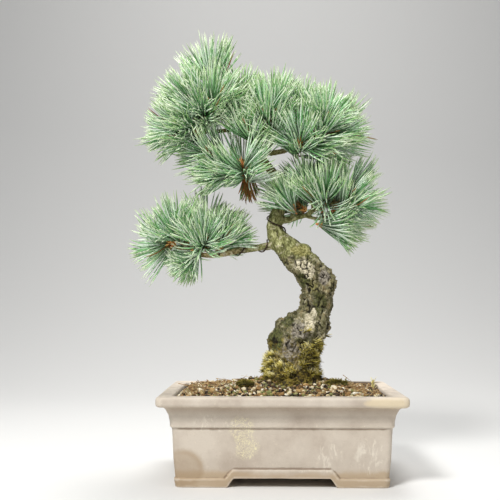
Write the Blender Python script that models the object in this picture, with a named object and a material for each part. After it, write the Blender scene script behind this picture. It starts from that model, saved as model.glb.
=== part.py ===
"""White pine bonsai in a rectangular unglazed pot.

Lengths in the tables below are millimetres in the pot's own frame: x to the right, y to the
back, z up from the table, with x = y = 0 at the middle of the pot. An empty carries that frame
into the part's frame, whose origin is the middle of the whole plant's outline, on the table.
"""

import math

import bmesh
import bpy
from mathutils import Matrix, Vector, noise
from mathutils.bvhtree import BVHTree

MM = 0.001
GAP = 0.35              # clearance kept between touching pieces
WOOD_CLEARANCE = 0.8    # clearance of soil, moss and foliage to the wood

# Pot
RIM_HALF_X = 110.0
RIM_HALF_Y = 80.0
RIM_TOP = 79.4
LIP_BOTTOM = 70.9
FOOT_HALF_X = 92.6
FLOOR_UNDERSIDE = 9.0
FLOOR_TOP = 15.0
INNER_HALF_AT_RIM = 95.4
INNER_HALF_LOW = 88.5
INNER_HALF_AT_FLOOR = 86.0
WALL_CORNER = 5.0
LIP_CORNER = 6.5
FOOT_WIDTH = 14.0
CUTOUT_HEIGHT = 8.0
CUTOUT_SLOPE = 5.5
FRONT_CUTOUT_HALF = 42.5
SIDE_CUTOUT_HALF = 27.0
DRAIN_HOLE_X = 46.0
DRAIN_HOLE_RADIUS = 10.0

# Drainage screens and the wire clips that hold them
SCREEN_CELLS = 7
SCREEN_CELL = 3.8
SCREEN_THICKNESS = 1.0
CLIP_WIRE_RADIUS = 0.6
CLIP_REACH = 16.0

# Ground
SOIL_EDGE = 73.0
SOIL_CROWN = 88.0
DRESSING_THICKNESS = 3.0
DRESSING_BUMP = 0.7

# Training wire
WIRE_RADIUS = 0.7
WIRE_PITCH = 24.0
WIRE_START = -2.3       # where on the trunk's girth the winding begins, in radians
WIRE_STEP = 2.8

FAN_ROLL_OFF = 0.12     # how much shorter a fan's outermost needles are

# Trunk stations: x, y, z, radius
TRUNK = [
    (12, 2, 58, 17), (11, 2, 72, 24), (10.5, 2, 84, 29.5), (10.5, 1, 92, 26.5), (11, 0, 101, 24.3),
    (11.5, -1, 112, 24), (12.5, -2, 122, 24.5), (17.5, -2, 130.5, 24.5), (26, -1, 138, 20.6),
    (30.5, 1, 147, 17.6), (34, 3, 156, 14.8), (35.6, 4, 166, 15.4), (37.2, 3, 175.5, 16.6),
    (34.2, 1, 185, 16), (26.5, -1, 194.5, 15), (17.4, -2, 203, 14.6), (8.4, -2, 211.5, 12.9),
    (1, -1, 219.5, 10.8), (-4.2, 0, 227, 9.2), (-5.6, 0, 235, 7.9), (-4.2, 0, 243.5, 7.0),
    (-0.6, 1, 252, 6.2), (2.8, 2, 261, 5.7), (2.6, 3, 271, 5.2), (-2, 4, 282, 4.8),
    (-10.5, 3, 293, 4.4), (-18, 2, 303, 4.0), (-21.5, 1, 314, 3.6), (-19, 0, 325, 3.1),
    (-12, -1, 334, 2.6),
]

# Knots and old cut scars on the trunk: x, y, z, radius along x, y, z
KNOTS = [
    (-2.5, -8, 124.5, 10.5, 10, 11),
    (11.5, -10, 143, 9.5, 9, 8.5),
    (20.5, -3, 210, 10.5, 10, 9),
    (43.8, 0, 180.5, 11.5, 12, 11),
    (38, -4, 140, 11, 11, 12),
    (24, 12, 128, 14, 12, 15),
    (4, 14, 108, 14, 12, 14),
]

# Surface roots: stations of x, y, z, radius
ROOTS = [
    [(2, 0, 97, 10), (-9, -3, 88.5, 8.5), (-18, -5, 81, 6.5), (-28, -7, 72, 4)],
    [(20, 0, 97, 10), (30, -2, 88.5, 8.5), (37, -3, 81, 6.5), (46, -5, 72, 4)],
    [(10, -6, 97, 10), (8, -18, 88.5, 8.5), (7, -26, 81, 6.5), (5, -35, 72, 4)],
    [(14, 6, 97, 10), (17, 18, 88.5, 8.5), (19, 26, 81, 6.5), (22, 36, 72, 4)],
]

# Branches: stations of x, y, z, radius
LEFT_BRANCH = [
    (0, -1, 217, 4.6), (-9, -1, 216, 4.2), (-20, -1, 214.6, 3.5), (-31, -1, 212.6, 3.3),
    (-42, -1, 211.4, 3.4), (-53, -1, 208.8, 3.2), (-64, 0, 206.8, 3.0), (-76, 1, 207.4, 2.6),
    (-88, 1, 210.5, 2.2), (-99, 1.5, 214.5, 1.8),
]
RIGHT_BRANCH = [
    (-2, 0, 241, 4.0), (8, 0, 241.4, 3.4), (18, 0, 244.3, 2.7), (26, 0, 246, 2.5),
    (32, -1, 250.5, 2.4), (40, -2, 254.5, 2.2), (49, -4, 256.5, 1.9),
]
RIGHT_LOWER_BRANCH = [(24, 0, 245.5, 2.0), (31, -1, 243.2, 1.8), (38, -3, 241.8, 1.6)]
CROWN_RIGHT_BRANCH = [
    (-20, 1, 307, 3.0), (-8, 0, 307, 2.8), (4, 0, 309, 2.6), (16, 0, 314, 2.4),
    (28, 0, 319, 2.1), (38, -2, 322.5, 1.8),
]
APEX_BRANCH = [
    (-21, 1, 310, 3.2), (-30, 1, 322, 3.0), (-41, 0, 331, 2.7), (-51, -1, 339, 2.4),
    (-57, 0, 350, 2.1), (-61, 1, 363, 1.8),
]
APEX_LEFT_BRANCH = [
    (-41, 0, 331, 2.3), (-56, 1, 329.5, 2.2), (-72, 0, 328, 2.0), (-86, -1, 328.5, 1.8),
]
CENTRE_BRANCH = [(-13, 2, 297, 2.8), (-22, -3, 295, 2.5), (-31, -9, 292, 2.1)]
BRANCHES = [
    LEFT_BRANCH, RIGHT_BRANCH, RIGHT_LOWER_BRANCH, CROWN_RIGHT_BRANCH, APEX_BRANCH,
    APEX_LEFT_BRANCH, CENTRE_BRANCH,
]

# Shoots: name, where the twig leaves its branch, where it ends, the way it points, the length
# of its needles and how far they spread to each side, in degrees
SHOOTS = [
    ("left_tip", (-97, 1.5, 213.5), (-110, 1, 219), (-0.95, -0.1, 0.15), 41, 75),
    ("left_outer", (-86, 1, 210), (-99, -7, 225), (-0.45, -0.3, 0.85), 42, 75),
    ("left_front", (-65, 0, 207), (-73, -15, 217), (-0.05, -0.65, 0.75), 42, 82),
    ("left_inner", (-60, -1, 208), (-58, -4, 219.5), (0.5, -0.2, 0.8), 40, 62),
    ("left_hanging", (-75, 1, 207.4), (-84, -8, 207), (-0.6, -0.35, -0.65), 30, 55),
    ("left_top", (-68, 0, 207), (-73, 9, 230), (0.0, 0.2, 0.98), 42, 72),
    ("left_back_outer", (-83, 1, 209), (-94, 24, 219), (-0.5, 0.8, 0.4), 41, 76),
    ("left_back_inner", (-62, -1, 207.5), (-62, 22, 220), (0.2, 0.75, 0.6), 40, 62),
    ("right_inner", (11, 0, 242), (11, -5, 259), (-0.65, -0.3, 0.65), 40, 60),
    ("right_top", (32, -1, 250.5), (28, -7, 271), (-0.2, -0.35, 0.9), 41, 76),
    ("right_front", (36, -1.5, 252.5), (43, -16, 260), (0.1, -0.75, 0.6), 42, 82),
    ("right_tip", (47, -4, 256), (61, -7, 259), (0.9, -0.3, 0.3), 43, 76),
    ("right_hanging", (36, -2, 242), (47, -8, 243), (0.93, -0.35, -0.15), 40, 52),
    ("right_outer_top", (43, -2.5, 255), (66, 5, 270), (0.6, 0.15, 0.75), 41, 76),
    ("right_back_top", (38, -2, 253.5), (43, 18, 266), (0.0, 0.75, 0.65), 41, 76),
    ("right_back_outer", (45, -3, 255.5), (61, 22, 255), (0.55, 0.8, 0.2), 41, 74),
    ("right_back_inner", (17, 0, 244), (19, 18, 258), (-0.4, 0.8, 0.45), 40, 72),
    ("crown_top", (-13, -1, 333), (-4, -3, 350), (0.0, -0.25, 0.97), 40, 74),
    ("crown_inner", (-18, 0, 327), (-13, -13, 340), (-0.35, -0.6, 0.7), 40, 76),
    ("crown_front", (2, 0, 309), (19, -18, 312.5), (0.1, -0.7, 0.7), 43, 85),
    ("crown_front_right", (14, 0, 313), (35, -13, 318), (0.7, -0.6, 0.2), 42, 72),
    ("crown_tip", (36, -1.5, 322), (52, -3, 328), (0.92, -0.15, 0.35), 43, 76),
    ("crown_outer", (25, 0, 318), (42, -9, 338), (0.35, -0.45, 0.8), 42, 76),
    ("crown_right_top", (-13, -1, 333), (21, 8, 348), (0.2, 0.2, 0.95), 40, 74),
    ("crown_back", (-14, -1, 332), (12, 22, 337), (0.0, 0.85, 0.5), 41, 76),
    ("crown_back_outer", (27, 0, 318.5), (45, 19, 329), (0.6, 0.75, 0.3), 41, 76),
    ("apex_top", (-61, 1, 361), (-67, 2, 379), (-0.15, -0.1, 1.0), 47, 53),
    ("apex_front", (-54, -0.5, 344), (-66, -13, 354), (-0.1, -0.6, 0.8), 44, 78),
    ("apex_outer_top", (-70, 0, 328), (-84, -3, 359), (-0.55, -0.15, 0.82), 41, 66),
    ("apex_front_low", (-50, -1, 338), (-74, -17, 343), (-0.45, -0.75, 0.45), 42, 76),
    ("apex_middle", (-71, 0, 328), (-88, -11, 333), (-0.65, -0.6, 0.35), 41, 72),
    ("apex_tip", (-84, -1, 328.4), (-99, -2, 331), (-0.97, -0.1, 0.1), 41, 68),
    ("apex_inner_top", (-43, 0, 333), (-40, 4, 356), (0.25, 0.0, 0.97), 41, 70),
    ("apex_inner_front", (-27, 1, 318), (-34, -11, 324), (-0.05, -0.6, 0.8), 42, 72),
    ("apex_back", (-56, 0, 347), (-61, 21, 353), (0.0, 0.85, 0.55), 42, 74),
    ("apex_back_outer", (-73, 0, 328), (-87, 19, 338), (-0.5, 0.8, 0.35), 41, 74),
    ("centre_front", (-30, -8, 292), (-36, -20, 290), (0.0, -0.7, 0.7), 42, 85),
    ("centre_left", (-29, -8, 292.5), (-51, -12, 287), (-0.9, -0.35, 0.25), 42, 64),
    ("centre_hanging", (-27, -6, 293), (-31, -10, 282), (0.1, -0.3, -0.95), 24, 38),
    ("centre_upper_left", (-20, -2, 295.5), (-64, -8, 306), (-0.9, -0.3, 0.3), 43, 70),
    ("centre_back", (-18, 0, 296), (-40, 16, 293), (-0.3, 0.75, 0.6), 40, 62),
]

# Moss cushions on the ground: name, x, y, radius, height
MOSS_CUSHIONS = [
    ("moss_cushion_left", -33, -30, 9, 4.5),
    ("moss_cushion_right", 52, -22, 11, 5),
    ("moss_cushion_back", -8, 44, 12, 5),
]

CERAMIC = ("fired_clay", (0.42, 0.36, 0.30), 0.6)
SCREEN_PLASTIC = ("screen_plastic", (0.02, 0.02, 0.02), 0.5)
CLIP_METAL = ("clip_aluminium", (0.45, 0.43, 0.40), 0.4)
SOIL_MIX = ("soil_mix", (0.16, 0.11, 0.07), 0.95)
GRIT = ("grit", (0.50, 0.40, 0.28), 0.9)
BARK = ("bark", (0.22, 0.19, 0.13), 0.9)
DARK_WIRE = ("dark_wire", (0.08, 0.06, 0.05), 0.45)
MOSS = ("moss", (0.30, 0.30, 0.08), 0.95)
NEEDLES = ("needles", (0.22, 0.40, 0.24), 0.6)


def clear_scene():
    for old in list(bpy.data.objects):
        bpy.data.objects.remove(old, do_unlink=True)


def material(finish):
    """The Principled material of a finish, made on first use."""
    name, colour, roughness = finish
    found = bpy.data.materials.get(name)
    if found:
        return found
    made = bpy.data.materials.new(name)
    made.use_nodes = True
    shader = made.node_tree.nodes["Principled BSDF"]
    shader.inputs["Base Color"].default_value = (*colour, 1.0)
    shader.inputs["Roughness"].default_value = roughness
    shader.inputs["Metallic"].default_value = 1.0 if finish is CLIP_METAL else 0.0
    return made


def finish_object(name, bm, finish, smooth_below=None):
    """Turn a bmesh in millimetres into an object in metres, carried by the pot's frame."""
    bmesh.ops.scale(bm, vec=(MM, MM, MM), verts=bm.verts)
    bmesh.ops.triangulate(bm, faces=bm.faces)
    bmesh.ops.recalc_face_normals(bm, faces=bm.faces)
    mesh = bpy.data.meshes.new(name)
    bm.to_mesh(mesh)
    bm.free()
    if smooth_below:
        mesh.shade_smooth()
        mesh.set_sharp_from_angle(angle=math.radians(smooth_below))
    mesh.materials.append(material(finish))
    made = bpy.data.objects.new(name, mesh)
    bpy.context.collection.objects.link(made)
    made.parent = pot_frame
    return made


def as_cutter(name, bm):
    made = finish_object(name, bm, SOIL_MIX)
    made.hide_render = True
    made.display_type = "WIRE"
    return made


def boolean(target, other, operation):
    change = target.modifiers.new(other.name, "BOOLEAN")
    change.operation = operation
    change.object = other
    change.solver = "EXACT"


def settle(target):
    """Replace an object's mesh by its evaluated one, and keep only its largest body."""
    graph = bpy.context.evaluated_depsgraph_get()
    mesh = bpy.data.meshes.new_from_object(target.evaluated_get(graph))
    target.modifiers.clear()
    target.data = mesh
    bm = bmesh.new()
    bm.from_mesh(mesh)
    bmesh.ops.remove_doubles(bm, verts=bm.verts, dist=0.00001)
    bmesh.ops.dissolve_degenerate(bm, edges=bm.edges, dist=0.00001)
    bodies = loose_bodies(bm)
    spare = [f for body in bodies[1:] for f in body]
    if spare:
        bmesh.ops.delete(bm, geom=spare, context="FACES")
    bmesh.ops.triangulate(bm, faces=bm.faces)
    bm.to_mesh(mesh)
    bm.free()


def loose_bodies(bm):
    """The mesh's separate bodies as lists of faces, the one with most area first."""
    left = set(bm.faces)
    bodies = []
    while left:
        body = []
        edge_of_search = [left.pop()]
        while edge_of_search:
            face = edge_of_search.pop()
            body.append(face)
            for edge in face.edges:
                for other in edge.link_faces:
                    if other in left:
                        left.remove(other)
                        edge_of_search.append(other)
        bodies.append(body)
    return sorted(bodies, key=lambda body: -sum(f.calc_area() for f in body))


def bridge(bm, lower, upper):
    count = len(lower)
    for i in range(count):
        j = (i + 1) % count
        bm.faces.new((lower[i], lower[j], upper[j], upper[i]))


def box(bm, low, high):
    size = [high[i] - low[i] for i in range(3)]
    middle = [(high[i] + low[i]) / 2 for i in range(3)]
    place = Matrix.Translation(middle) @ Matrix.Diagonal((*size, 1.0))
    bmesh.ops.create_cube(bm, size=1.0, matrix=place)


def rounded_ring(bm, half_x, half_y, z, corner, centre=(0.0, 0.0), corner_steps=3):
    """A level ring of vertices round a rectangle with round corners."""
    ring = []
    for quarter in range(4):
        sign_x = 1 if quarter in (0, 3) else -1
        sign_y = 1 if quarter in (0, 1) else -1
        for step in range(corner_steps + 1):
            angle = math.radians(90 * (quarter + step / corner_steps))
            x = sign_x * (half_x - corner) + corner * math.cos(angle)
            y = sign_y * (half_y - corner) + corner * math.sin(angle)
            ring.append(bm.verts.new((centre[0] + x, centre[1] + y, z)))
    return ring


def tube(bm, stations, sides, steps=1, extra=0.0):
    """A closed round tube along a smooth curve through stations of x, y, z, radius."""
    points = smooth_stations(stations, steps)
    frame_x = Vector((0, 1, 0))
    rings = []
    for i, (place, radius) in enumerate(points):
        before = points[max(i - 1, 0)][0]
        after = points[min(i + 1, len(points) - 1)][0]
        along = (after - before).normalized()
        frame_x = (frame_x - along * frame_x.dot(along)).normalized()
        frame_y = along.cross(frame_x)
        if i == 0:
            place = place - along * extra
        if i == len(points) - 1:
            place = place + along * extra
        ring = []
        for side in range(sides):
            angle = 2 * math.pi * side / sides
            out = frame_x * math.cos(angle) + frame_y * math.sin(angle)
            ring.append(bm.verts.new(place + out * (radius + extra)))
        rings.append(ring)
    for lower, upper in zip(rings, rings[1:]):
        bridge(bm, lower, upper)
    for ring in (rings[0], rings[-1]):
        middle = bm.verts.new(sum((v.co for v in ring), Vector()) / sides)
        for i in range(sides):
            bm.faces.new((ring[i], ring[(i + 1) % sides], middle))


def smooth_stations(stations, steps):
    """Catmull-Rom points through the stations, with steps spans to each stretch."""
    known = [Vector((*s[:3], s[3])) for s in stations]
    padded = [known[0] * 2 - known[1], *known, known[-1] * 2 - known[-2]]
    found = []
    for i in range(1, len(padded) - 2):
        a, b, c, d = padded[i - 1], padded[i], padded[i + 1], padded[i + 2]
        for step in range(steps):
            t = step / steps
            mixed = 0.5 * (2 * b + (c - a) * t + (2 * a - 5 * b + 4 * c - d) * t ** 2
                           + (3 * b - a - 3 * c + d) * t ** 3)
            found.append((Vector(mixed[:3]), mixed[3]))
    found.append((Vector(known[-1][:3]), known[-1][3]))
    return found


def build_pot():
    """Slip-cast body: outer wall, rounded lip, inner wall and floor in one skin."""
    depth_less = RIM_HALF_X - RIM_HALF_Y
    outer = [
        (0, FOOT_HALF_X, WALL_CORNER), (11, 94.0, WALL_CORNER), (24.5, 95.4, WALL_CORNER),
        (46, 96.3, WALL_CORNER), (51.6, 96.7, WALL_CORNER), (52.4, 97.5, WALL_CORNER),
        (61, 99.2, WALL_CORNER), (69.4, 101.6, WALL_CORNER), (LIP_BOTTOM, 103.4, WALL_CORNER),
        (LIP_BOTTOM + 0.4, 108.8, LIP_CORNER), (LIP_BOTTOM + 1.8, RIM_HALF_X, LIP_CORNER),
        (RIM_TOP - 1.6, RIM_HALF_X, LIP_CORNER), (RIM_TOP, RIM_HALF_X - 1.6, LIP_CORNER),
    ]
    inner = [
        (RIM_TOP, INNER_HALF_AT_RIM + 1.2, WALL_CORNER),
        (RIM_TOP - 1.4, INNER_HALF_AT_RIM, WALL_CORNER),
        (FLOOR_TOP + 3, INNER_HALF_LOW, WALL_CORNER),
        (FLOOR_TOP, INNER_HALF_AT_FLOOR, WALL_CORNER),
    ]
    bm = bmesh.new()
    rings = [rounded_ring(bm, hx, hx - depth_less, z, r) for z, hx, r in outer + inner]
    for lower, upper in zip(rings, rings[1:]):
        bridge(bm, lower, upper)
    bm.faces.new(rings[0])
    bm.faces.new(rings[-1])
    pot = finish_object("pot", bm, CERAMIC, smooth_below=35)

    recess = bmesh.new()
    recess_x = FOOT_HALF_X - FOOT_WIDTH
    recess_y = recess_x - depth_less
    box(recess, (-recess_x, -recess_y, -5), (recess_x, recess_y, FLOOR_UNDERSIDE))
    boolean(pot, as_cutter("foot_recess", recess), "DIFFERENCE")
    boolean(pot, as_cutter("front_cutout", cutout(FRONT_CUTOUT_HALF, RIM_HALF_Y, 0)), "DIFFERENCE")
    boolean(pot, as_cutter("side_cutout", cutout(SIDE_CUTOUT_HALF, RIM_HALF_X, 90)), "DIFFERENCE")
    for side in (-1, 1):
        hole = bmesh.new()
        place = Matrix.Translation((side * DRAIN_HOLE_X, 0, FLOOR_TOP))
        bmesh.ops.create_cone(
            hole, cap_ends=True, segments=20, radius1=DRAIN_HOLE_RADIUS,
            radius2=DRAIN_HOLE_RADIUS, depth=30, matrix=place,
        )
        boolean(pot, as_cutter(f"drain_hole_{side}", hole), "DIFFERENCE")
    return pot


def cutout(half_width, reach, turn):
    """A bar with sloping ends to its section, lying along y, or along x when turned."""
    bm = bmesh.new()
    below = 3.0
    spread = CUTOUT_SLOPE * (CUTOUT_HEIGHT + below) / CUTOUT_HEIGHT
    profile = [
        (-half_width - spread, -below), (half_width + spread, -below),
        (half_width, CUTOUT_HEIGHT), (-half_width, CUTOUT_HEIGHT),
    ]
    front = [bm.verts.new((x, -reach - 20, z)) for x, z in profile]
    back = [bm.verts.new((x, reach + 20, z)) for x, z in profile]
    bridge(bm, front, back)
    bm.faces.new(front)
    bm.faces.new(back)
    bmesh.ops.rotate(bm, verts=bm.verts, matrix=Matrix.Rotation(math.radians(turn), 3, "Z"))
    return bm


def build_screen(name, centre_x):
    """A square of plastic mesh that keeps the soil from falling through a drain hole."""
    bm = bmesh.new()
    half = SCREEN_CELLS * SCREEN_CELL / 2
    place = Matrix.Translation((centre_x, 0, FLOOR_TOP + GAP))
    bmesh.ops.create_grid(
        bm, x_segments=SCREEN_CELLS, y_segments=SCREEN_CELLS, size=half, matrix=place,
    )
    openings = []
    for face in bm.faces:
        middle = face.calc_center_median()
        column = round((middle.x - centre_x + half) / SCREEN_CELL - 0.5)
        row = round((middle.y + half) / SCREEN_CELL - 0.5)
        if column % 2 == 1 and row % 2 == 1:
            openings.append(face)
    bmesh.ops.delete(bm, geom=openings, context="FACES")
    raised = bmesh.ops.extrude_face_region(bm, geom=list(bm.faces))
    top = [v for v in raised["geom"] if isinstance(v, bmesh.types.BMVert)]
    bmesh.ops.translate(bm, verts=top, vec=(0, 0, SCREEN_THICKNESS))
    return finish_object(name, bm, SCREEN_PLASTIC)


def build_clip(name, centre_x):
    """A bent wire whose legs pass through the screen and turn out under the floor."""
    top = FLOOR_TOP + 2 * GAP + SCREEN_THICKNESS + CLIP_WIRE_RADIUS
    under = FLOOR_UNDERSIDE - GAP - CLIP_WIRE_RADIUS
    leg = 2 * SCREEN_CELL
    half = [
        (CLIP_REACH, 0, under), (leg + 1.4, 0, under), (leg + 0.3, 0, under + 0.4),
        (leg, 0, under + 1.5), (leg, 0, top - 1.2), (leg - 0.4, 0, top - 0.3), (leg - 1.4, 0, top),
    ]
    path = half + [(-x, y, z) for x, y, z in reversed(half)]
    stations = [(centre_x + x, y, z, CLIP_WIRE_RADIUS) for x, y, z in path]
    bm = bmesh.new()
    tube(bm, stations, sides=6)
    return finish_object(name, bm, CLIP_METAL, smooth_below=60)


def ground_rings(bm, lift, bump, edge_gap):
    """Rings of the mounded ground surface, from the pot's wall to the foot of the trunk."""
    shares = (1.0, 0.93, 0.8, 0.66, 0.52, 0.38, 0.24, 0.1)
    half_x = inner_half_at(SOIL_EDGE + lift) - edge_gap
    half_y = half_x - (RIM_HALF_X - RIM_HALF_Y)
    rings = []
    for share in shares:
        centre = ((1 - share) * TRUNK[2][0], 0.0)
        rise = SOIL_EDGE + (SOIL_CROWN - SOIL_EDGE) * (1 - share) ** 1.1
        ring = rounded_ring(bm, half_x * share, half_y * share, rise + lift,
                            max(WALL_CORNER * share, 1.0), centre)
        for vertex in ring:
            spot = Vector((vertex.co.x, vertex.co.y, lift)) * 0.11
            vertex.co.z += bump * noise.noise(spot)
        rings.append(ring)
    return rings


def inner_half_at(z):
    """Half width of the pot's inside at a height, on its long sides' ends."""
    low_z, low_half = FLOOR_TOP + 3, INNER_HALF_LOW
    high_z, high_half = RIM_TOP - 1.4, INNER_HALF_AT_RIM
    return low_half + (high_half - low_half) * (z - low_z) / (high_z - low_z)


def build_soil(wood_tubes):
    """The packed soil, from the pot's floor to the layer of grit."""
    bm = bmesh.new()
    depth_less = RIM_HALF_X - RIM_HALF_Y
    wall_gap = 0.6
    low_half = INNER_HALF_AT_FLOOR - wall_gap
    low = rounded_ring(bm, low_half, low_half - depth_less, FLOOR_TOP + GAP, WALL_CORNER)
    side_half = inner_half_at(FLOOR_TOP + 3) - wall_gap
    side = rounded_ring(bm, side_half, side_half - depth_less, FLOOR_TOP + 3 + GAP, WALL_CORNER)
    top = ground_rings(bm, 0.0, 0.0, wall_gap)
    rings = [low, side, *top]
    for lower, upper in zip(rings, rings[1:]):
        bridge(bm, lower, upper)
    bm.faces.new(low)
    bm.faces.new(rings[-1])
    soil = finish_object("soil", bm, SOIL_MIX)
    half = SCREEN_CELLS * SCREEN_CELL / 2 + GAP
    roof = FLOOR_TOP + 3 * GAP + SCREEN_THICKNESS + 2 * CLIP_WIRE_RADIUS
    for side in (-1, 1):
        hollow = bmesh.new()
        middle = side * DRAIN_HOLE_X
        box(hollow, (middle - half, -half, 0), (middle + half, half, roof))
        boolean(soil, as_cutter(f"screen_space_{side}", hollow), "DIFFERENCE")
    cut_by_wood(soil, wood_tubes)
    settle(soil)
    return soil


def build_top_dressing(wood_tubes):
    """The loose top layer of pumice, baked clay and lava grains, as one bumpy sheet."""
    bm = bmesh.new()
    under = ground_rings(bm, GAP, 0.0, 0.8)
    over = ground_rings(bm, DRESSING_THICKNESS, DRESSING_BUMP, 0.8)
    for rings in (under, over):
        for outer, inner in zip(rings, rings[1:]):
            bridge(bm, outer, inner)
        bm.faces.new(rings[-1])
    bridge(bm, under[0], over[0])
    dressing = finish_object("top_dressing", bm, GRIT)
    cut_by_wood(dressing, wood_tubes)
    settle(dressing)
    return dressing


def knot_ball(bm, knot, extra=0.0):
    x, y, z, rx, ry, rz = knot
    size = Matrix.Diagonal((rx + extra, ry + extra, rz + extra, 1.0))
    place = Matrix.Translation((x, y, z)) @ size
    bmesh.ops.create_icosphere(bm, subdivisions=2, radius=1.0, matrix=place)


def shoot_stations(shoot):
    """A twig that leaves its branch, bends, and ends along the shoot's own direction."""
    _, start, end, way, _, _ = shoot
    start, end = Vector(start), Vector(end)
    way = Vector(way).normalized()
    before_end = end - way * 5.0
    middle = start.lerp(before_end, 0.5) + way * 1.0
    return [(*start, 1.7), (*middle, 1.5), (*before_end, 1.45), (*end, 1.25)]


def wood_members():
    """Every limb of the tree, as makers that take a bmesh and an extra thickness."""
    members = [lambda bm, extra: tube(bm, TRUNK, 14, extra=extra)]
    members += [lambda bm, extra, k=k: knot_ball(bm, k, extra) for k in KNOTS]
    members += [lambda bm, extra, r=r: tube(bm, r, 8, extra=extra) for r in ROOTS]
    members += [lambda bm, extra, b=b: tube(bm, b, 8, extra=extra) for b in BRANCHES]
    members += [
        lambda bm, extra, s=s: tube(bm, shoot_stations(s), 6, extra=extra) for s in SHOOTS
    ]
    return members


def build_wood():
    """Trunk, roots, branches and twigs grown as one piece of wood."""
    wood = None
    for number, member in enumerate(wood_members()):
        bm = bmesh.new()
        member(bm, 0.0)
        if wood is None:
            wood = finish_object("tree_wood", bm, BARK, smooth_below=60)
        else:
            boolean(wood, as_cutter(f"limb_{number}", bm), "UNION")
    settle(wood)
    return wood


def fat_wood():
    """A slightly thicker copy of every limb, which keeps other pieces clear of the wood."""
    made = []
    for number, member in enumerate(wood_members()):
        bm = bmesh.new()
        member(bm, WOOD_CLEARANCE)
        made.append(as_cutter(f"clearance_{number}", bm))
    return made


def box_of(mesh):
    corners = [v.co for v in mesh.vertices]
    low = Vector(min(c[i] for c in corners) for i in range(3))
    high = Vector(max(c[i] for c in corners) for i in range(3))
    return low, high


def boxes_meet(a, b):
    return all(a[0][i] <= b[1][i] and b[0][i] <= a[1][i] for i in range(3))


def cut_by_wood(piece, wood_tubes):
    own_box = box_of(piece.data)
    for limb in wood_tubes:
        if boxes_meet(own_box, box_of(limb.data)):
            boolean(piece, limb, "DIFFERENCE")


def build_moss_collar(wood_tubes):
    """The mat of moss that climbs the foot of the trunk."""
    thickness = 2.6
    bm = bmesh.new()
    climb = [s for s in TRUNK if 80 < s[2] < 135]
    tube(bm, climb, 16, extra=thickness + WOOD_CLEARANCE)
    ground = SOIL_CROWN + DRESSING_THICKNESS + DRESSING_BUMP + 1.0
    keep_above = bmesh.ops.bisect_plane(
        bm, geom=bm.verts[:] + bm.edges[:] + bm.faces[:], plane_co=(0, 0, ground),
        plane_no=(0, 0, 1), clear_inner=True,
    )
    close_cut(bm, keep_above)
    keep_below = bmesh.ops.bisect_plane(
        bm, geom=bm.verts[:] + bm.edges[:] + bm.faces[:], plane_co=(11, 0, 117),
        plane_no=(-0.12, 0.1, 1), clear_outer=True,
    )
    close_cut(bm, keep_below)
    collar = finish_object("moss_collar", bm, MOSS)
    cut_by_wood(collar, wood_tubes)
    settle(collar)
    return collar


def close_cut(bm, cut):
    rim = [e for e in cut["geom_cut"] if isinstance(e, bmesh.types.BMEdge)]
    bmesh.ops.contextual_create(bm, geom=rim)


def build_moss_cushion(spec, ground):
    """A low pad of moss whose flat underside lies just above the grit."""
    name, x, y, radius, height = spec
    heights = []
    for share in (0.0, 0.5, 1.0):
        for step in range(12):
            turn = 2 * math.pi * step / 12
            spot = Vector((x + radius * share * math.cos(turn), y + radius * share * math.sin(turn), 200))
            heights.append(ground.ray_cast(spot * MM, Vector((0, 0, -1)))[0].z / MM)
    base = max(heights) + GAP + 0.1
    bm = bmesh.new()
    size = Matrix.Diagonal((radius, radius * 0.8, height, 1.0))
    place = Matrix.Translation((x, y, base)) @ size
    bmesh.ops.create_icosphere(bm, subdivisions=2, radius=1.0, matrix=place)
    cut = bmesh.ops.bisect_plane(
        bm, geom=bm.verts[:] + bm.edges[:] + bm.faces[:], plane_co=(x, y, base + 0.05),
        plane_no=(0, 0, 1), clear_inner=True,
    )
    close_cut(bm, cut)
    return finish_object(name, bm, MOSS, smooth_below=50)


def wire_route(bark):
    """A helix wound down the upper trunk and out along the left branch, laid on the bark."""
    down = [s for s in reversed(TRUNK) if 225 < s[2] < 262]
    out = [s for s in LEFT_BRANCH if -66 < s[0] < -8]
    guide = smooth_stations([*down, *out], 8)
    route = []
    travelled = 0.0
    for i in range(1, len(guide) - 1):
        here = guide[i][0]
        travelled += (here - guide[i - 1][0]).length
        along = (guide[i + 1][0] - guide[i - 1][0]).normalized()
        side = Vector((0, 1, 0))
        up = along.cross(side).normalized()
        turn = 2 * math.pi * travelled / WIRE_PITCH + WIRE_START
        route.append(here + (up * math.cos(turn) + side * math.sin(turn)) * (guide[i][1] + 2.5))
    route = even_points(route, WIRE_STEP)
    rest_at = WIRE_RADIUS + GAP + 0.15
    for _ in range(12):
        for i, point in enumerate(route):
            place, normal, _, distance = bark.find_nearest(point * MM)
            outside = (point * MM - place).dot(normal) > 0
            gap = distance / MM if outside else -distance / MM
            route[i] = point + normal * (rest_at - gap)
        middle = [(a + c) * 0.25 + b * 0.5 for a, b, c in zip(route, route[1:], route[2:])]
        route[1:-1] = middle
    for i, point in enumerate(route):
        place, normal, _, distance = bark.find_nearest(point * MM)
        if distance / MM < rest_at:
            route[i] = point + normal * (rest_at - distance / MM)
    return route


def even_points(points, spacing):
    """The same polyline with its points evenly spaced."""
    kept = [points[0]]
    left = spacing
    for a, b in zip(points, points[1:]):
        stretch = (b - a).length
        done = 0.0
        while stretch - done >= left:
            done += left
            kept.append(a.lerp(b, done / stretch))
            left = spacing
        left -= stretch - done
    return kept


def build_wire(wood):
    """The wire itself, and a thicker cutter that keeps the needles clear of it."""
    bark = bvh_of(wood)
    stations = [(*point, WIRE_RADIUS) for point in wire_route(bark)]
    bm = bmesh.new()
    tube(bm, stations, sides=6)
    finish_object("training_wire", bm, DARK_WIRE, smooth_below=60)
    clear = bmesh.new()
    tube(clear, stations, sides=6, extra=WOOD_CLEARANCE)
    return as_cutter("wire_clearance", clear)


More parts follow.
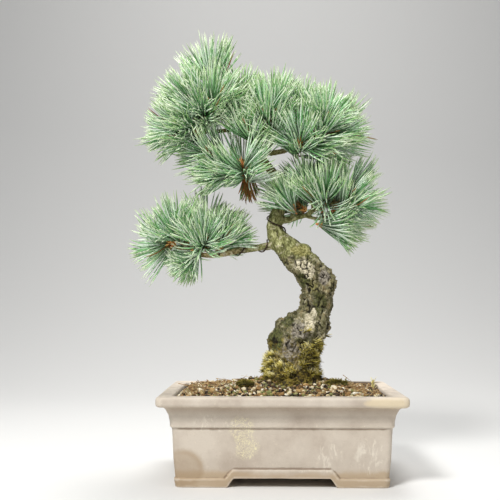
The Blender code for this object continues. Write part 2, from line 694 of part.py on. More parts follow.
def bvh_of(made):
    bm = bmesh.new()
    bm.from_mesh(made.data)
    tree = BVHTree.FromBMesh(bm)
    bm.free()
    return tree


def fan_apex(shoot):
    """Where a shoot's needles start, just off the end of its twig."""
    return Vector(shoot[2]) + Vector(shoot[3]).normalized() * GAP


def needle_fan(shoot, others):
    """The dome of needles round one shoot's end, kept on its own side of its neighbours."""
    way = Vector(shoot[3]).normalized()
    apex = fan_apex(shoot)
    side = way.orthogonal().normalized()
    up = way.cross(side)
    longest, spread = shoot[4:]
    rings_at = [spread * share for share in (0.27, 0.54, 0.78, 1.0)]
    around = 10

    def reach(direction, tilt):
        length = longest * (1 - FAN_ROLL_OFF * (tilt / spread) ** 2)
        for other in others:
            towards = fan_apex(other) - apex
            facing = direction.dot(towards.normalized())
            if facing > 0:
                length = min(length, (towards.length / 2 - GAP) / facing)
        return apex + direction * length

    bm = bmesh.new()
    rings = []
    for tilt in rings_at:
        ring = []
        for step in range(around):
            turn = 2 * math.pi * step / around
            out = side * math.cos(turn) + up * math.sin(turn)
            direction = way * math.cos(math.radians(tilt)) + out * math.sin(math.radians(tilt))
            ring.append(bm.verts.new(reach(direction, tilt)))
        rings.append(ring)
    for inner, outer in zip(rings, rings[1:]):
        bridge(bm, inner, outer)
    crown = bm.verts.new(reach(way, 0))
    root = bm.verts.new(apex)
    for i in range(around):
        j = (i + 1) % around
        bm.faces.new((rings[0][i], rings[0][j], crown))
        bm.faces.new((rings[-1][i], rings[-1][j], root))
    return bm


def build_needles(wood_tubes):
    for shoot in SHOOTS:
        others = [s for s in SHOOTS if s is not shoot]
        fan = finish_object(f"needles_{shoot[0]}", needle_fan(shoot, others), NEEDLES)
        own_box = box_of(fan.data)
        for limb, owner in wood_tubes:
            if owner != shoot[0] and boxes_meet(own_box, box_of(limb.data)):
                boolean(fan, limb, "DIFFERENCE")
        settle(fan)


def build_all():
    build_pot()
    for side, word in ((-1, "left"), (1, "right")):
        build_screen(f"drainage_screen_{word}", side * DRAIN_HOLE_X)
        build_clip(f"screen_clip_{word}", side * DRAIN_HOLE_X)
    wood = build_wood()
    limbs = fat_wood()
    build_soil(limbs)
    dressing = build_top_dressing(limbs)
    build_moss_collar(limbs)
    ground = bvh_of(dressing)
    for spec in MOSS_CUSHIONS:
        build_moss_cushion(spec, ground)
    wire_clearance = build_wire(wood)
    plain_limbs = len(limbs) - len(SHOOTS)
    owners = [None] * plain_limbs + [s[0] for s in SHOOTS]
    build_needles([*zip(limbs, owners), (wire_clearance, None)])


def centre_outline():
    """Slide the pot's frame until the part's outline is centred on the origin."""
    pieces = [o for o in pot_frame.children if not o.hide_render]
    boxes = [box_of(piece.data) for piece in pieces]
    for axis in (0, 1):
        low = min(b[0][axis] for b in boxes)
        high = max(b[1][axis] for b in boxes)
        pot_frame.location[axis] = -(low + high) / 2


clear_scene()
pot_frame = bpy.data.objects.new("pot_frame", None)
bpy.context.collection.objects.link(pot_frame)
build_all()
centre_outline()
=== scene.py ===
import math

import bmesh
import bpy
import numpy as np
from mathutils import Matrix, Vector, kdtree, noise
from mathutils.bvhtree import BVHTree


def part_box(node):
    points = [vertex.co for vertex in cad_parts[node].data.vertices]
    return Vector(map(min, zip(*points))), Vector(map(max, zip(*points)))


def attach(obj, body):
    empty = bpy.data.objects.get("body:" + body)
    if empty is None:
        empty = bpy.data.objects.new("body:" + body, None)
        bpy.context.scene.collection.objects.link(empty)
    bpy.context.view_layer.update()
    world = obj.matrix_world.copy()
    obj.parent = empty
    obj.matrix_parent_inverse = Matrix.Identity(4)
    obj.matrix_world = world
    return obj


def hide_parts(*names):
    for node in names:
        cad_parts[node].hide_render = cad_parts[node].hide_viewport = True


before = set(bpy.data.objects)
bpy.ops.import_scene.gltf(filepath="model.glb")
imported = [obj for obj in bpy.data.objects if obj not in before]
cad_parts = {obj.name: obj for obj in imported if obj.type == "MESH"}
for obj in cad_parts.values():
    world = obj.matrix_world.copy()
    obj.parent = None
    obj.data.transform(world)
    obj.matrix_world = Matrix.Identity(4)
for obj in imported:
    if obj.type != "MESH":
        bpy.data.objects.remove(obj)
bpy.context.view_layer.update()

# ----------------------------------------------------------------------------------------------
# Pot: a shallow rectangular bonsai tray of unglazed greige stoneware, pressed in a mould and
# fired. It has a rolled lip, a flared neck over a step, and four feet. A raised band runs round
# the feet and over the openings between them.
# ----------------------------------------------------------------------------------------------
MM = 0.001
pot_low, pot_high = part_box("pot")
pot_middle = (pot_low.x + pot_high.x) / 2
rim_top = pot_high.z / MM
settle = Matrix.Translation((pot_middle, 0, 0)) @ Matrix.Scale(MM, 4)


def piece_from(name, bm, finish, smooth=True):
    """Makes the object of a finished bmesh, with its faces outward."""
    bmesh.ops.recalc_face_normals(bm, faces=bm.faces)
    mesh = bpy.data.meshes.new(name)
    bm.to_mesh(mesh)
    bm.free()
    if smooth:
        mesh.shade_smooth()
    made = bpy.data.objects.new(name, mesh)
    bpy.context.scene.collection.objects.link(made)
    if finish is not None:
        mesh.materials.append(finish)
    return made


def set_modifiers(made):
    """Turns an object's modifiers into its own mesh."""
    graph = bpy.context.evaluated_depsgraph_get()
    graph.update()
    result = bpy.data.meshes.new_from_object(made.evaluated_get(graph), depsgraph=graph)
    made.modifiers.clear()
    made.data = result


def carve(made, cutter_bm, operation="DIFFERENCE"):
    """Cuts a shape given in millimetres out of a piece, or joins it on."""
    bmesh.ops.transform(cutter_bm, matrix=settle, verts=cutter_bm.verts)
    cutter = piece_from("cutter", cutter_bm, None)
    step = made.modifiers.new("carve", "BOOLEAN")
    step.solver = "EXACT"
    step.operation = operation
    step.object = cutter
    set_modifiers(made)
    bpy.data.objects.remove(cutter)


def rounded_loop(bm, half_x, z, corner):
    """The pot's outline at one height, as a closed loop of edges."""
    half_y = half_x - 30
    around = []
    for quarter, (side_x, side_y) in enumerate(((1, 1), (-1, 1), (-1, -1), (1, -1))):
        for step in range(7):
            turn = math.radians(90 * (quarter + step / 6))
            x = side_x * (half_x - corner) + corner * math.cos(turn)
            y = side_y * (half_y - corner) + corner * math.sin(turn)
            around.append(bm.verts.new((x, y, z)))
    return [bm.edges.new((a, b)) for a, b in zip(around, around[1:] + around[:1])]


def lofted(levels):
    """A closed solid through outlines given as half length, height and corner radius."""
    bm = bmesh.new()
    loops = [rounded_loop(bm, *level) for level in levels]
    for lower, upper in zip(loops, loops[1:]):
        bmesh.ops.bridge_loops(bm, edges=lower + upper)
    bmesh.ops.holes_fill(bm, edges=loops[0] + loops[-1])
    bmesh.ops.triangulate(bm, faces=bm.faces)
    bmesh.ops.recalc_face_normals(bm, faces=bm.faces)
    return bm


def block(low, high, lean=(0, 0, 0, 0)):
    """A box whose top is drawn in or out: lean moves the top's low x, high x, low y, high y."""
    bm = bmesh.new()
    bmesh.ops.create_cube(bm, size=1)
    for corner in bm.verts:
        top = corner.co.z > 0
        x = high[0] + top * lean[1] if corner.co.x > 0 else low[0] + top * lean[0]
        y = high[1] + top * lean[3] if corner.co.y > 0 else low[1] + top * lean[2]
        corner.co = (x, y, high[2] if top else low[2])
    return bm


pot = piece_from("stoneware_pot", lofted([
    (92.6, 0, 5), (94.0, 11, 5), (95.4, 24.5, 5), (96.3, 46, 5), (96.7, 51.6, 5),
    (98.2, 52.5, 5.4), (98.4, 57, 5.4), (99.7, 63, 5.6), (102.4, 68.4, 6), (105.2, 70.4, 6.2),
    (108.4, 70.5, 6.5), (109.6, 71.4, 6.5), (110, 73.2, 6.5), (110, rim_top - 2.6, 6.5),
    (109.4, rim_top - 0.9, 6.5), (108, rim_top, 6.3), (97.6, rim_top, 5.4),
    (96.2, rim_top - 0.7, 5.2), (95.4, rim_top - 2.4, 5), (88.5, 18, 5), (86, 15, 5),
]), None)
pot.data.transform(settle)
band = piece_from("foot_band", lofted([(93.7, 0, 5.6), (95.0, 8, 5.6), (95.8, 15.4, 5.6)]), None)
band.data.transform(settle)
for side_x in (-1, 1):
    for side_y in (-1, 1):
        over_foot = block((50, 34.5, 7.4), (130, 100, 20), (-11.5, 0, -11.5, 0))
        bmesh.ops.scale(over_foot, vec=(side_x, side_y, 1), verts=over_foot.verts)
        carve(band, over_foot)
carve(band, block((-80, -50, -5), (80, 50, 30)))
joined = pot.modifiers.new("band", "BOOLEAN")
joined.solver = "EXACT"
joined.operation = "UNION"
joined.object = band
set_modifiers(pot)
bpy.data.objects.remove(band)
carve(pot, block((-78.6, -48.6, -5), (78.6, 48.6, 9)))
carve(pot, block((-50.1, -120, -3), (50.1, 120, 8), (7.6, -7.6, 0, 0)))
carve(pot, block((-130, -34.6, -3), (130, 34.6, 8), (0, 0, 7.6, -7.6)))
for side_x in (-1, 1):
    hole = bmesh.new()
    bmesh.ops.create_cone(
        hole, cap_ends=True, segments=48, radius1=10, radius2=10, depth=30,
        matrix=Matrix.Translation((side_x * 46, 0, 15)),
    )
    carve(pot, hole)

# Firing softens every edge a little: the skin is remade at 1 mm, then thinned out again.
skin = pot.modifiers.new("fired_skin", "REMESH")
skin.mode = "VOXEL"
skin.voxel_size = 0.85 * MM
thin = pot.modifiers.new("thinned", "DECIMATE")
thin.ratio = 0.36
set_modifiers(pot)


def swell(made, rise):
    """Moves a piece's skin out along its own directions by rise(place), all in millimetres."""
    normals = [corner.normal.copy() for corner in made.data.vertices]
    for corner, normal in zip(made.data.vertices, normals):
        corner.co += normal * rise(corner.co / MM, normal) * MM
    made.data.shade_smooth()


def hand_pressed(place, normal):
    wave = noise.fractal(place / 30, 1.0, 2.0, 3) * 0.22 + noise.noise(place / 2.2) * 0.05
    return wave * (0.2 if place.z < 1.5 else 1.0)


swell(pot, hand_pressed)


def mark_hollows(made, smoothings):
    """Stores how hollow the skin is at each point: above 0 in a corner, below 0 on an edge."""
    mesh = made.data
    count = len(mesh.vertices)
    places = np.empty(count * 3, np.float32)
    mesh.vertices.foreach_get("co", places)
    places = places.reshape(-1, 3)
    ends = np.empty(len(mesh.edges) * 2, np.int32)
    mesh.edges.foreach_get("vertices", ends)
    first, second = ends.reshape(-1, 2).T
    normals = np.array([tuple(n.vector) for n in mesh.vertex_normals], np.float32)
    number = np.bincount(ends, minlength=count)[:, None].clip(1)

    def around(values):
        total = np.zeros_like(values)
        np.add.at(total, first, values[second])
        np.add.at(total, second, values[first])
        return total / number

    spread = around(places)
    hollow = ((spread - places) * normals).sum(1, keepdims=True) / MM
    for _ in range(smoothings):
        hollow = 0.4 * hollow + 0.6 * around(hollow)
    layer = mesh.attributes.new("hollow", "FLOAT", "POINT")
    layer.data.foreach_set("value", hollow.reshape(-1))


mark_hollows(pot, 2)


class Finish:
    """A procedural material under construction, with short names for its usual nodes."""

    def __init__(self, name, roughness=0.8):
        self.material = bpy.data.materials.new(name)
        self.material.use_nodes = True
        self.tree = self.material.node_tree
        self.surface = self.tree.nodes["Principled BSDF"]
        self.surface.inputs["Roughness"].default_value = roughness
        self.place = self.tree.nodes.new("ShaderNodeTexCoord").outputs["Object"]

    def put(self, value, socket):
        if isinstance(value, bpy.types.NodeSocket):
            self.tree.links.new(value, socket)
        elif socket.type == "RGBA":
            socket.default_value = (*value, 1)
        else:
            socket.default_value = value

    def mapped(self, scale=(1, 1, 1), move=(0, 0, 0)):
        node = self.tree.nodes.new("ShaderNodeMapping")
        self.put(self.place, node.inputs["Vector"])
        node.inputs["Scale"].default_value = scale
        node.inputs["Location"].default_value = move
        return node.outputs[0]

    def noise(self, scale, detail=4, rough=0.55, at=None, warp=0.0):
        node = self.tree.nodes.new("ShaderNodeTexNoise")
        self.put(at or self.place, node.inputs["Vector"])
        node.inputs["Scale"].default_value = scale
        node.inputs["Detail"].default_value = detail
        node.inputs["Roughness"].default_value = rough
        node.inputs["Distortion"].default_value = warp
        return node.outputs["Fac"]

    def cells(self, scale, at=None, feature="F1", output="Distance"):
        node = self.tree.nodes.new("ShaderNodeTexVoronoi")
        node.feature = feature
        self.put(at or self.place, node.inputs["Vector"])
        node.inputs["Scale"].default_value = scale
        return node.outputs[output]

    def ramp(self, amount, *stops):
        node = self.tree.nodes.new("ShaderNodeValToRGB")
        self.put(amount, node.inputs[0])
        steps = node.color_ramp.elements
        while len(steps) < len(stops):
            steps.new(0.5)
        for step, (at, colour) in zip(steps, stops):
            step.position = at
            step.color = (*colour, 1) if isinstance(colour, tuple) else (colour,) * 3 + (1,)
        return node.outputs[0]

    def fade(self, amount, start, end):
        node = self.tree.nodes.new("ShaderNodeMapRange")
        node.interpolation_type = "SMOOTHSTEP"
        self.put(amount, node.inputs["Value"])
        node.inputs["From Min"].default_value = start
        node.inputs["From Max"].default_value = end
        return node.outputs[0]

    def sum(self, operation, *values):
        node = self.tree.nodes.new("ShaderNodeMath")
        node.operation = operation
        for value, socket in zip(values, node.inputs):
            self.put(value, socket)
        return node.outputs[0]

    def mix(self, amount, first, second, blend="MIX"):
        node = self.tree.nodes.new("ShaderNodeMix")
        node.data_type = "RGBA"
        node.blend_type = blend
        self.put(amount, node.inputs[0])
        self.put(first, node.inputs[6])
        self.put(second, node.inputs[7])
        return node.outputs[2]

    def attribute(self, name):
        node = self.tree.nodes.new("ShaderNodeAttribute")
        node.attribute_name = name
        return node.outputs["Fac"]

    def height(self, axis="Z"):
        node = self.tree.nodes.new("ShaderNodeSeparateXYZ")
        self.put(self.place, node.inputs[0])
        return node.outputs[axis]

    def near(self, centre, size, ragged=0.0, scale=200):
        """1 at a spot of the pot, in millimetres about its middle, fading to 0 at its size."""
        scales = tuple(1 / (s * MM) for s in size)
        middle = (centre[0] * MM + pot_middle, centre[1] * MM, centre[2] * MM)
        at = self.mapped(scales, tuple(-c * s for c, s in zip(middle, scales)))
        length = self.tree.nodes.new("ShaderNodeVectorMath")
        length.operation = "LENGTH"
        self.put(at, length.inputs[0])
        away = length.outputs["Value"]
        if ragged:
            torn = self.sum("MULTIPLY_ADD", self.noise(scale, 5, 0.7), ragged, -ragged / 2)
            away = self.sum("ADD", away, torn)
        return self.fade(away, 1.0, 0.7)

    def bumped(self, height, strength, distance):
        node = self.tree.nodes.new("ShaderNodeBump")
        node.inputs["Strength"].default_value = strength
        node.inputs["Distance"].default_value = distance
        self.put(height, node.inputs["Height"])
        self.put(node.outputs[0], self.surface.inputs["Normal"])

    def coloured(self, colour):
        self.put(colour, self.surface.inputs["Base Color"])
        return self.material


def shade(red, green, blue):
    """A paint-chart colour, 0 to 255, as the renderer's linear value."""
    return tuple(
        c / 12.92 if c <= 0.04045 else ((c + 0.055) / 1.055) ** 2.4
        for c in (red / 255, green / 255, blue / 255)
    )


clay = Finish("stoneware", 0.78)
body = clay.ramp(
    clay.noise(26, 6, 0.6),
    (0.36, shade(180, 166, 151)), (0.5, shade(194, 182, 167)), (0.64, shade(204, 193, 178)),
)
grain = clay.noise(1700, 3, 0.6)
body = clay.mix(clay.fade(grain, 0.6, 0.74), body, shade(166, 148, 127))
body = clay.mix(clay.fade(clay.noise(420, 5, 0.7), 0.62, 0.75), body, shade(219, 207, 188))
low_damp = clay.sum("ADD", clay.height(), clay.sum("MULTIPLY", clay.noise(38, 4), 0.012))
damp = clay.fade(low_damp, 0.0225, 0.0165)
body = clay.mix(clay.sum("MULTIPLY", damp, 0.75), body, shade(178, 155, 124))
# Painted shade: the flared neck under the lip is darkened where the lip's shadow falls.
under_lip_shade = clay.sum("MULTIPLY", clay.fade(clay.height(), 0.0615, 0.0690), clay.fade(clay.height(), 0.0730, 0.0708))
body = clay.mix(clay.sum("MULTIPLY", under_lip_shade, 0.35), body, shade(150, 128, 106))
stain = clay.near((-87, -64, 17), (22, 26, 19), 0.2, 50)
dried = clay.near((-92, -64, 15), (24, 26, 19), 0.2, 50)
tide = clay.sum("MULTIPLY", stain, clay.sum("SUBTRACT", 1.0, clay.sum("MULTIPLY", dried, 0.3)))
body = clay.mix(clay.sum("MULTIPLY", tide, 0.72), body, shade(160, 136, 106))
threads = clay.fade(clay.sum("ABSOLUTE", clay.sum("SUBTRACT", clay.noise(330, 6, 0.7, warp=1.2), 0.5)), 0.035, 0.0)
lichen_bed = clay.sum("MAXIMUM", clay.near((-35, -66, 52), (13, 24, 12), 1.0, 90), clay.near((-31, -66, 37), (12, 24, 13), 1.0, 90))
lichen = clay.sum("MULTIPLY", threads, lichen_bed)
body = clay.mix(lichen, body, shade(236, 229, 186))
worn = clay.noise(240, 6, 0.75, at=clay.mapped((1.0, 1.0, 0.35)), warp=0.8)
scuffs = clay.sum("MAXIMUM", clay.near((41, -66, 26), (13, 24, 16), 0.9, 70), clay.near((76, -66, 28), (16, 24, 18), 0.9, 70))
scuffs = clay.sum("MAXIMUM", scuffs, clay.near((18, -66, 15.5), (12, 24, 2.2), 0.5, 90))
scuffs = clay.sum("MAXIMUM", scuffs, clay.near((-60, -66, 56), (22, 24, 9), 0.9, 70))
scuffs = clay.sum("MAXIMUM", scuffs, clay.near((30, 66, 34), (26, 24, 18), 0.9, 70))
scuffs = clay.sum("MAXIMUM", scuffs, clay.near((96, 20, 36), (20, 26, 16), 0.9, 70))
body = clay.mix(clay.sum("MULTIPLY", scuffs, clay.sum("MULTIPLY", clay.fade(worn, 0.5, 0.62), 0.6)), body, shade(226, 218, 203))
yellowed = clay.sum("MULTIPLY", clay.near((92, -80, 75), (24, 14, 7), 0.7, 90), 0.55)
body = clay.mix(yellowed, body, shade(224, 205, 166))
# Painted shade: the pot's hollows and corners, such as the step and the band's edges, are darkened.
hollow_shade = clay.fade(clay.attribute("hollow"), 0.012, 0.06)
body = clay.mix(clay.sum("MULTIPLY", hollow_shade, 0.75), body, shade(122, 102, 82))
# Painted highlight: the pot's convex edges are made paler.
edge_highlight = clay.fade(clay.attribute("hollow"), -0.02, -0.08)
body = clay.mix(clay.sum("MULTIPLY", edge_highlight, 0.5), body, shade(222, 210, 192))
# Painted highlight: a patchy paler strip along the top of the rim.
rim_highlight = clay.fade(clay.height(), rim_top * MM - 0.0012, rim_top * MM - 0.0002)
body = clay.mix(clay.sum("MULTIPLY", rim_highlight, clay.fade(clay.noise(70, 5), 0.35, 0.7)), body, shade(218, 205, 188))
soaked = clay.sum("MAXIMUM", clay.near((84, 63, 75), (26, 9, 14), 0.5, 70), clay.near((-20, 66, 73), (30, 7, 10), 0.5, 70))
soaked = clay.sum("MAXIMUM", soaked, clay.near((93, 40, 75), (6, 30, 9), 0.5, 70))
body = clay.mix(clay.sum("MULTIPLY", soaked, 0.85), body, shade(88, 68, 47))
clay.bumped(clay.sum("ADD", clay.sum("MULTIPLY", grain, 0.4), clay.noise(520, 4, 0.6)), 0.35, 0.00035)
clay.surface.inputs["Specular IOR Level"].default_value = 0.35
pot.data.materials.clear()
pot.data.materials.append(clay.coloured(body))
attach(pot, "root")
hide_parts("pot")

# ----------------------------------------------------------------------------------------------
# Drainage screens: squares of black plastic mesh over the two drain holes. Each is pinned by a
# bent aluminium wire whose legs pass through the hole and turn out under the floor.
# ----------------------------------------------------------------------------------------------
plastic = Finish("screen_plastic", 0.5)
dust = plastic.fade(plastic.noise(300, 5), 0.5, 0.72)
plastic.bumped(plastic.noise(900, 3), 0.2, 0.0002)
plastic.coloured(plastic.mix(plastic.sum("MULTIPLY", dust, 0.5), shade(32, 32, 30), shade(92, 78, 60)))
dull_wire = Finish("clip_aluminium", 0.38)
dull_wire.surface.inputs["Metallic"].default_value = 0.9
dull_wire.bumped(dull_wire.noise(1500, 3), 0.25, 0.0001)
dull_wire.coloured(dull_wire.ramp(
    dull_wire.noise(500, 4), (0.35, shade(134, 128, 120)), (0.7, shade(182, 178, 170)),
))
for side in ("left", "right"):
    for node, finish in ((f"drainage_screen_{side}", plastic), (f"screen_clip_{side}", dull_wire)):
        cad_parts[node].data.materials.clear()
        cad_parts[node].data.materials.append(finish.material)

# ----------------------------------------------------------------------------------------------
# Soil and grit: an open bonsai mix of cream pumice, tan akadama clay and dark lava, poured round
# the root ball and mounded up to the trunk. The grains lie loose over one another up to the rim.
# ----------------------------------------------------------------------------------------------
earth = Finish("damp_soil", 0.95)
earth_noise = earth.cells(380, feature="F1")
earth.bumped(earth_noise, 0.9, 0.0012)
earth.coloured(earth.ramp(earth.noise(210, 5, 0.7), (0.3, shade(34, 26, 17)), (0.7, shade(92, 70, 46))))
for node in ("soil", "top_dressing"):
    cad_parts[node].data.materials.clear()
    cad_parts[node].data.materials.append(earth.material)


def tree_of(made):
    """What a CAD node's skin is hit by."""
    bm = bmesh.new()
    bm.from_mesh(made.data)
    bmesh.ops.remove_doubles(bm, verts=bm.verts, dist=1e-6)
    hit = BVHTree.FromBMesh(bm)
    bm.free()
    return hit


def corners_of(bm):
    """The corner places and triangles of a small shape that is going to be repeated."""
    bmesh.ops.triangulate(bm, faces=bm.faces)
    bm.verts.ensure_lookup_table()
    places = np.array([v.co for v in bm.verts])
    faces = np.array([[v.index for v in f.verts] for f in bm.faces])
    return places, faces


def repeated(name, places, faces, tones, finish, smooth=True, columns=None):
    """One piece of many like shapes: places is (shape, corner, xyz) and tones one number each."""
    count, corners = places.shape[:2]
    order = (faces[None] + (np.arange(count) * corners)[:, None, None]).reshape(-1)
    mesh = bpy.data.meshes.new(name)
    mesh.vertices.add(count * corners)
    mesh.vertices.foreach_set("co", places.reshape(-1))
    mesh.loops.add(len(order))
    mesh.loops.foreach_set("vertex_index", order.astype(np.int32))
    mesh.polygons.add(len(order) // 3)
    mesh.polygons.foreach_set("loop_start", np.arange(0, len(order), 3, dtype=np.int32))
    mesh.update(calc_edges=True)
    tone = mesh.attributes.new("tone", "FLOAT", "POINT")
    tone.data.foreach_set("value", np.repeat(tones, corners).astype(np.float32))
    if columns is not None:
        across, along = columns
        chart = mesh.uv_layers.new(name="OFBake")
        u = (np.arange(count)[:, None] + 0.06 + 0.88 * across[None]) / count
        v = np.broadcast_to(0.02 + 0.96 * along[None], u.shape)
        chart.data.foreach_set("uv", np.stack([u, v], -1).reshape(-1).astype(np.float32))
    mesh.validate()
    if smooth:
        mesh.shade_smooth()
    made = bpy.data.objects.new(name, mesh)
    bpy.context.scene.collection.objects.link(made)
    mesh.materials.append(finish)
    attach(made, "root")
    return made


def turned_at_random(chance, count):
    """Random turns, as a stack of 3 by 3 matrices."""
    quarter = chance.normal(size=(count, 4))
    quarter /= np.linalg.norm(quarter, axis=1, keepdims=True)
    w, x, y, z = quarter.T
    return np.stack([
        1 - 2 * (y * y + z * z), 2 * (x * y - z * w), 2 * (x * z + y * w),
        2 * (x * y + z * w), 1 - 2 * (x * x + z * z), 2 * (y * z - x * w),
        2 * (x * z - y * w), 2 * (y * z + x * w), 1 - 2 * (x * x + y * y),
    ], -1).reshape(-1, 3, 3)


dressing_hit = tree_of(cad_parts["top_dressing"])
wood_hit = tree_of(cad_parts["tree_wood"])
ground_chance = np.random.default_rng(7)


def ground_at(x, y):
    """Height of the soil's surface at a spot, in metres, or None off the soil."""
    spot, _, _, _ = dressing_hit.ray_cast(Vector((x, y, 0.12)), Vector((0, 0, -1)))
    if spot is None or spot.z < 0.072:
        return None
    return spot.z


def strewn(count, half_x=93.6, half_y=63.6, margin=1.2, trunk_gap=1.0):
    """Random spots on the soil, clear of the pot's wall and of the trunk."""
    spots = []
    while len(spots) < count:
        x = pot_middle + ground_chance.uniform(-half_x + margin, half_x - margin) * MM
        y = ground_chance.uniform(-half_y + margin, half_y - margin) * MM
        z = ground_at(x, y)
        if z is None:
            z = ground_at(x * 0.9 + pot_middle * 0.1, y * 0.9)
            edge = abs(x - pot_middle) > 88 * MM or abs(y) > 58 * MM
            if z is None or not edge:
                continue
        if wood_hit.find_nearest(Vector((x, y, z)), trunk_gap * MM)[0] is not None:
            continue
        bare_corner = x - pot_middle > 62 * MM and y > 22 * MM
        if bare_corner and ground_chance.random() < 0.85:
            continue
        spots.append((x, y, z))
    return np.array(spots)


def grains(name, count, sizes, flatness, roughness, finish, smooth):
    """One kind of grain, each a crushed lump of its own size, half sunk among the others."""
    chance = ground_chance
    lumps = []
    for seed in range(8):
        bm = bmesh.new()
        bmesh.ops.create_icosphere(bm, subdivisions=2, radius=1)
        for corner in bm.verts:
            shift = noise.noise(corner.co * 0.9 + Vector((seed * 7.3, 0, 1.7 * roughness)))
            shift += 0.5 * noise.noise(corner.co * 2.3 + Vector((0, seed * 5.1, 0)))
            corner.co *= 1 + roughness * shift
        places, faces = corners_of(bm)
        bm.free()
        lumps.append(places)
    lumps = np.array(lumps)
    spots = strewn(count)
    size = chance.uniform(*sizes, size=count) * (1 + 0.35 * (chance.random(count) > 0.85))
    stretch = chance.uniform(0.72, 1.2, size=(count, 1, 3))
    turned = np.einsum("nij,nkj->nki", turned_at_random(chance, count), lumps[chance.integers(0, 8, count)] * stretch)
    turned[:, :, 2] *= flatness
    turned *= (size * MM / 2)[:, None, None]
    lift = chance.uniform(-0.12, 0.42, count) * size * MM
    spots[:, 2] += lift
    edge = 95.0 * MM - size * MM * 0.62
    spots[:, 0] = pot_middle + np.clip(spots[:, 0] - pot_middle, -edge, edge)
    spots[:, 1] = np.clip(spots[:, 1], -(edge - 30 * MM), edge - 30 * MM)
    return repeated(name, turned + spots[:, None], faces, chance.random(count), finish, smooth)


pumice = Finish("pumice", 0.9)
pumice.bumped(pumice.noise(1500, 5, 0.75), 0.6, 0.0005)
pumice_tone = pumice.ramp(
    pumice.attribute("tone"),
    (0.0, shade(252, 246, 228)), (0.45, shade(238, 224, 190)), (0.8, shade(214, 196, 154)), (1.0, shade(182, 174, 150)),
)
pumice.coloured(pumice.mix(pumice.fade(pumice.noise(900, 5, 0.7), 0.54, 0.74), pumice_tone, shade(176, 156, 118)))
akadama = Finish("akadama_clay", 0.92)
akadama.bumped(akadama.noise(1300, 5, 0.7), 0.5, 0.0004)
akadama_tone = akadama.ramp(
    akadama.attribute("tone"),
    (0.0, shade(196, 162, 108)), (0.4, shade(152, 118, 72)), (0.75, shade(104, 76, 44)), (1.0, shade(172, 150, 104)),
)
akadama.coloured(akadama.mix(akadama.fade(akadama.noise(700, 5, 0.7), 0.5, 0.7), akadama_tone, shade(96, 70, 40)))
lava = Finish("dark_lava", 0.85)
lava.bumped(lava.noise(1600, 4, 0.75), 0.8, 0.0006)
lava.coloured(lava.ramp(
    lava.attribute("tone"), (0.0, shade(30, 23, 17)), (0.6, shade(54, 40, 26)), (1.0, shade(88, 74, 56)),
))
algae = Finish("green_grit", 0.9)
algae.bumped(algae.noise(1300, 5, 0.7), 0.5, 0.0004)
algae_tone = algae.ramp(
    algae.attribute("tone"),
    (0.0, shade(150, 152, 84)), (0.5, shade(118, 122, 66)), (1.0, shade(186, 182, 124)),
)
algae.coloured(algae.mix(algae.fade(algae.noise(650, 5, 0.7), 0.48, 0.7), algae_tone, shade(92, 82, 46)))
grains("lava_grains", 700, (2.0, 4.0), 0.85, 0.75, lava.material, False)
grains("akadama_grains", 980, (2.0, 4.2), 0.85, 0.55, akadama.material, True)
grains("pumice_grains", 640, (1.8, 4.1), 0.85, 0.8, pumice.material, False)
grains("mossy_grains", 520, (1.8, 3.6), 0.85, 0.6, algae.material, True)

# ----------------------------------------------------------------------------------------------
# Tree: one living piece of white pine, from the surface roots through the gnarled S-shaped trunk
# to the twigs. Its bark is fissured and flaking low down, smoother and olive higher up.
# ----------------------------------------------------------------------------------------------
wood_bm = bmesh.new()
wood_bm.from_mesh(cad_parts["tree_wood"].data)
bmesh.ops.remove_doubles(wood_bm, verts=wood_bm.verts, dist=1e-6)
wood = piece_from("pine_wood", wood_bm, None)
growth = wood.modifiers.new("growth", "REMESH")
growth.mode = "VOXEL"
growth.voxel_size = 0.82 * MM
rounded = wood.modifiers.new("rounded", "SMOOTH")
rounded.factor = 0.5
rounded.iterations = 4
set_modifiers(wood)



def limb_thickness(corner, normal):
    """How thick the limb is under a point of its skin, in millimetres."""
    start = corner - normal * 0.4 * MM
    far, _, _, through = wood_hit.ray_cast(start, -normal)
    return min(60.0, through / MM) if far is not None else 3.0


fissure_shades = []


def bark_relief(place, normal):
    """Lumps, flaking plates and ragged fissures, finer and shallower on thin limbs."""
    thickness = limb_thickness(place * MM, normal)
    depth = max(0.1, min(2.5, 0.085 * thickness))
    drift = noise.noise_vector(place / 17) * 9 + noise.noise_vector(place / 5) * 3
    along_limb = Vector((place.x, place.y, place.z * 0.6)) + drift
    coarse = 10.5 if thickness > 14 else 3.4
    near, next_near = noise.voronoi(along_limb / coarse)[0][:2]
    split = min(1.0, (next_near - near) / 0.26)
    kept = 0.5 + 0.5 * noise.noise(place / 9 + Vector((4, 0, 0)))
    split = 1 - (1 - split) * min(1.0, max(0.0, 2.6 * kept - 0.5))
    ridges = 1 - 2 * abs(noise.fractal(along_limb / 6.5, 0.7, 2.1, 4))
    flakes = noise.fractal(along_limb / 2.6, 0.7, 2.2, 4)
    lumps = noise.noise(place / 11 + Vector((0, 3, 0)))
    rugged = 0.35 + 0.65 * min(1.0, max(0.0, (216 - place.z) / 22))
    open_bark = min(1.0, max(0.0, 1.02 - split * 0.85 - 0.16 * ridges - 0.34 * flakes - 0.3 * lumps))
    # How far the bark opens into a fissure here; it sets the painted shade in the fissures.
    fissure_shades.append(open_bark * min(1.0, rugged + 0.1))
    return depth * rugged * (0.7 * split - 0.85 + 0.25 * ridges + 0.6 * flakes + 0.95 * lumps)


swell(wood, bark_relief)
marks = wood.data.attributes.new("fissure_shade", "FLOAT", "POINT")
marks.data.foreach_set("value", np.array(fissure_shades, np.float32))

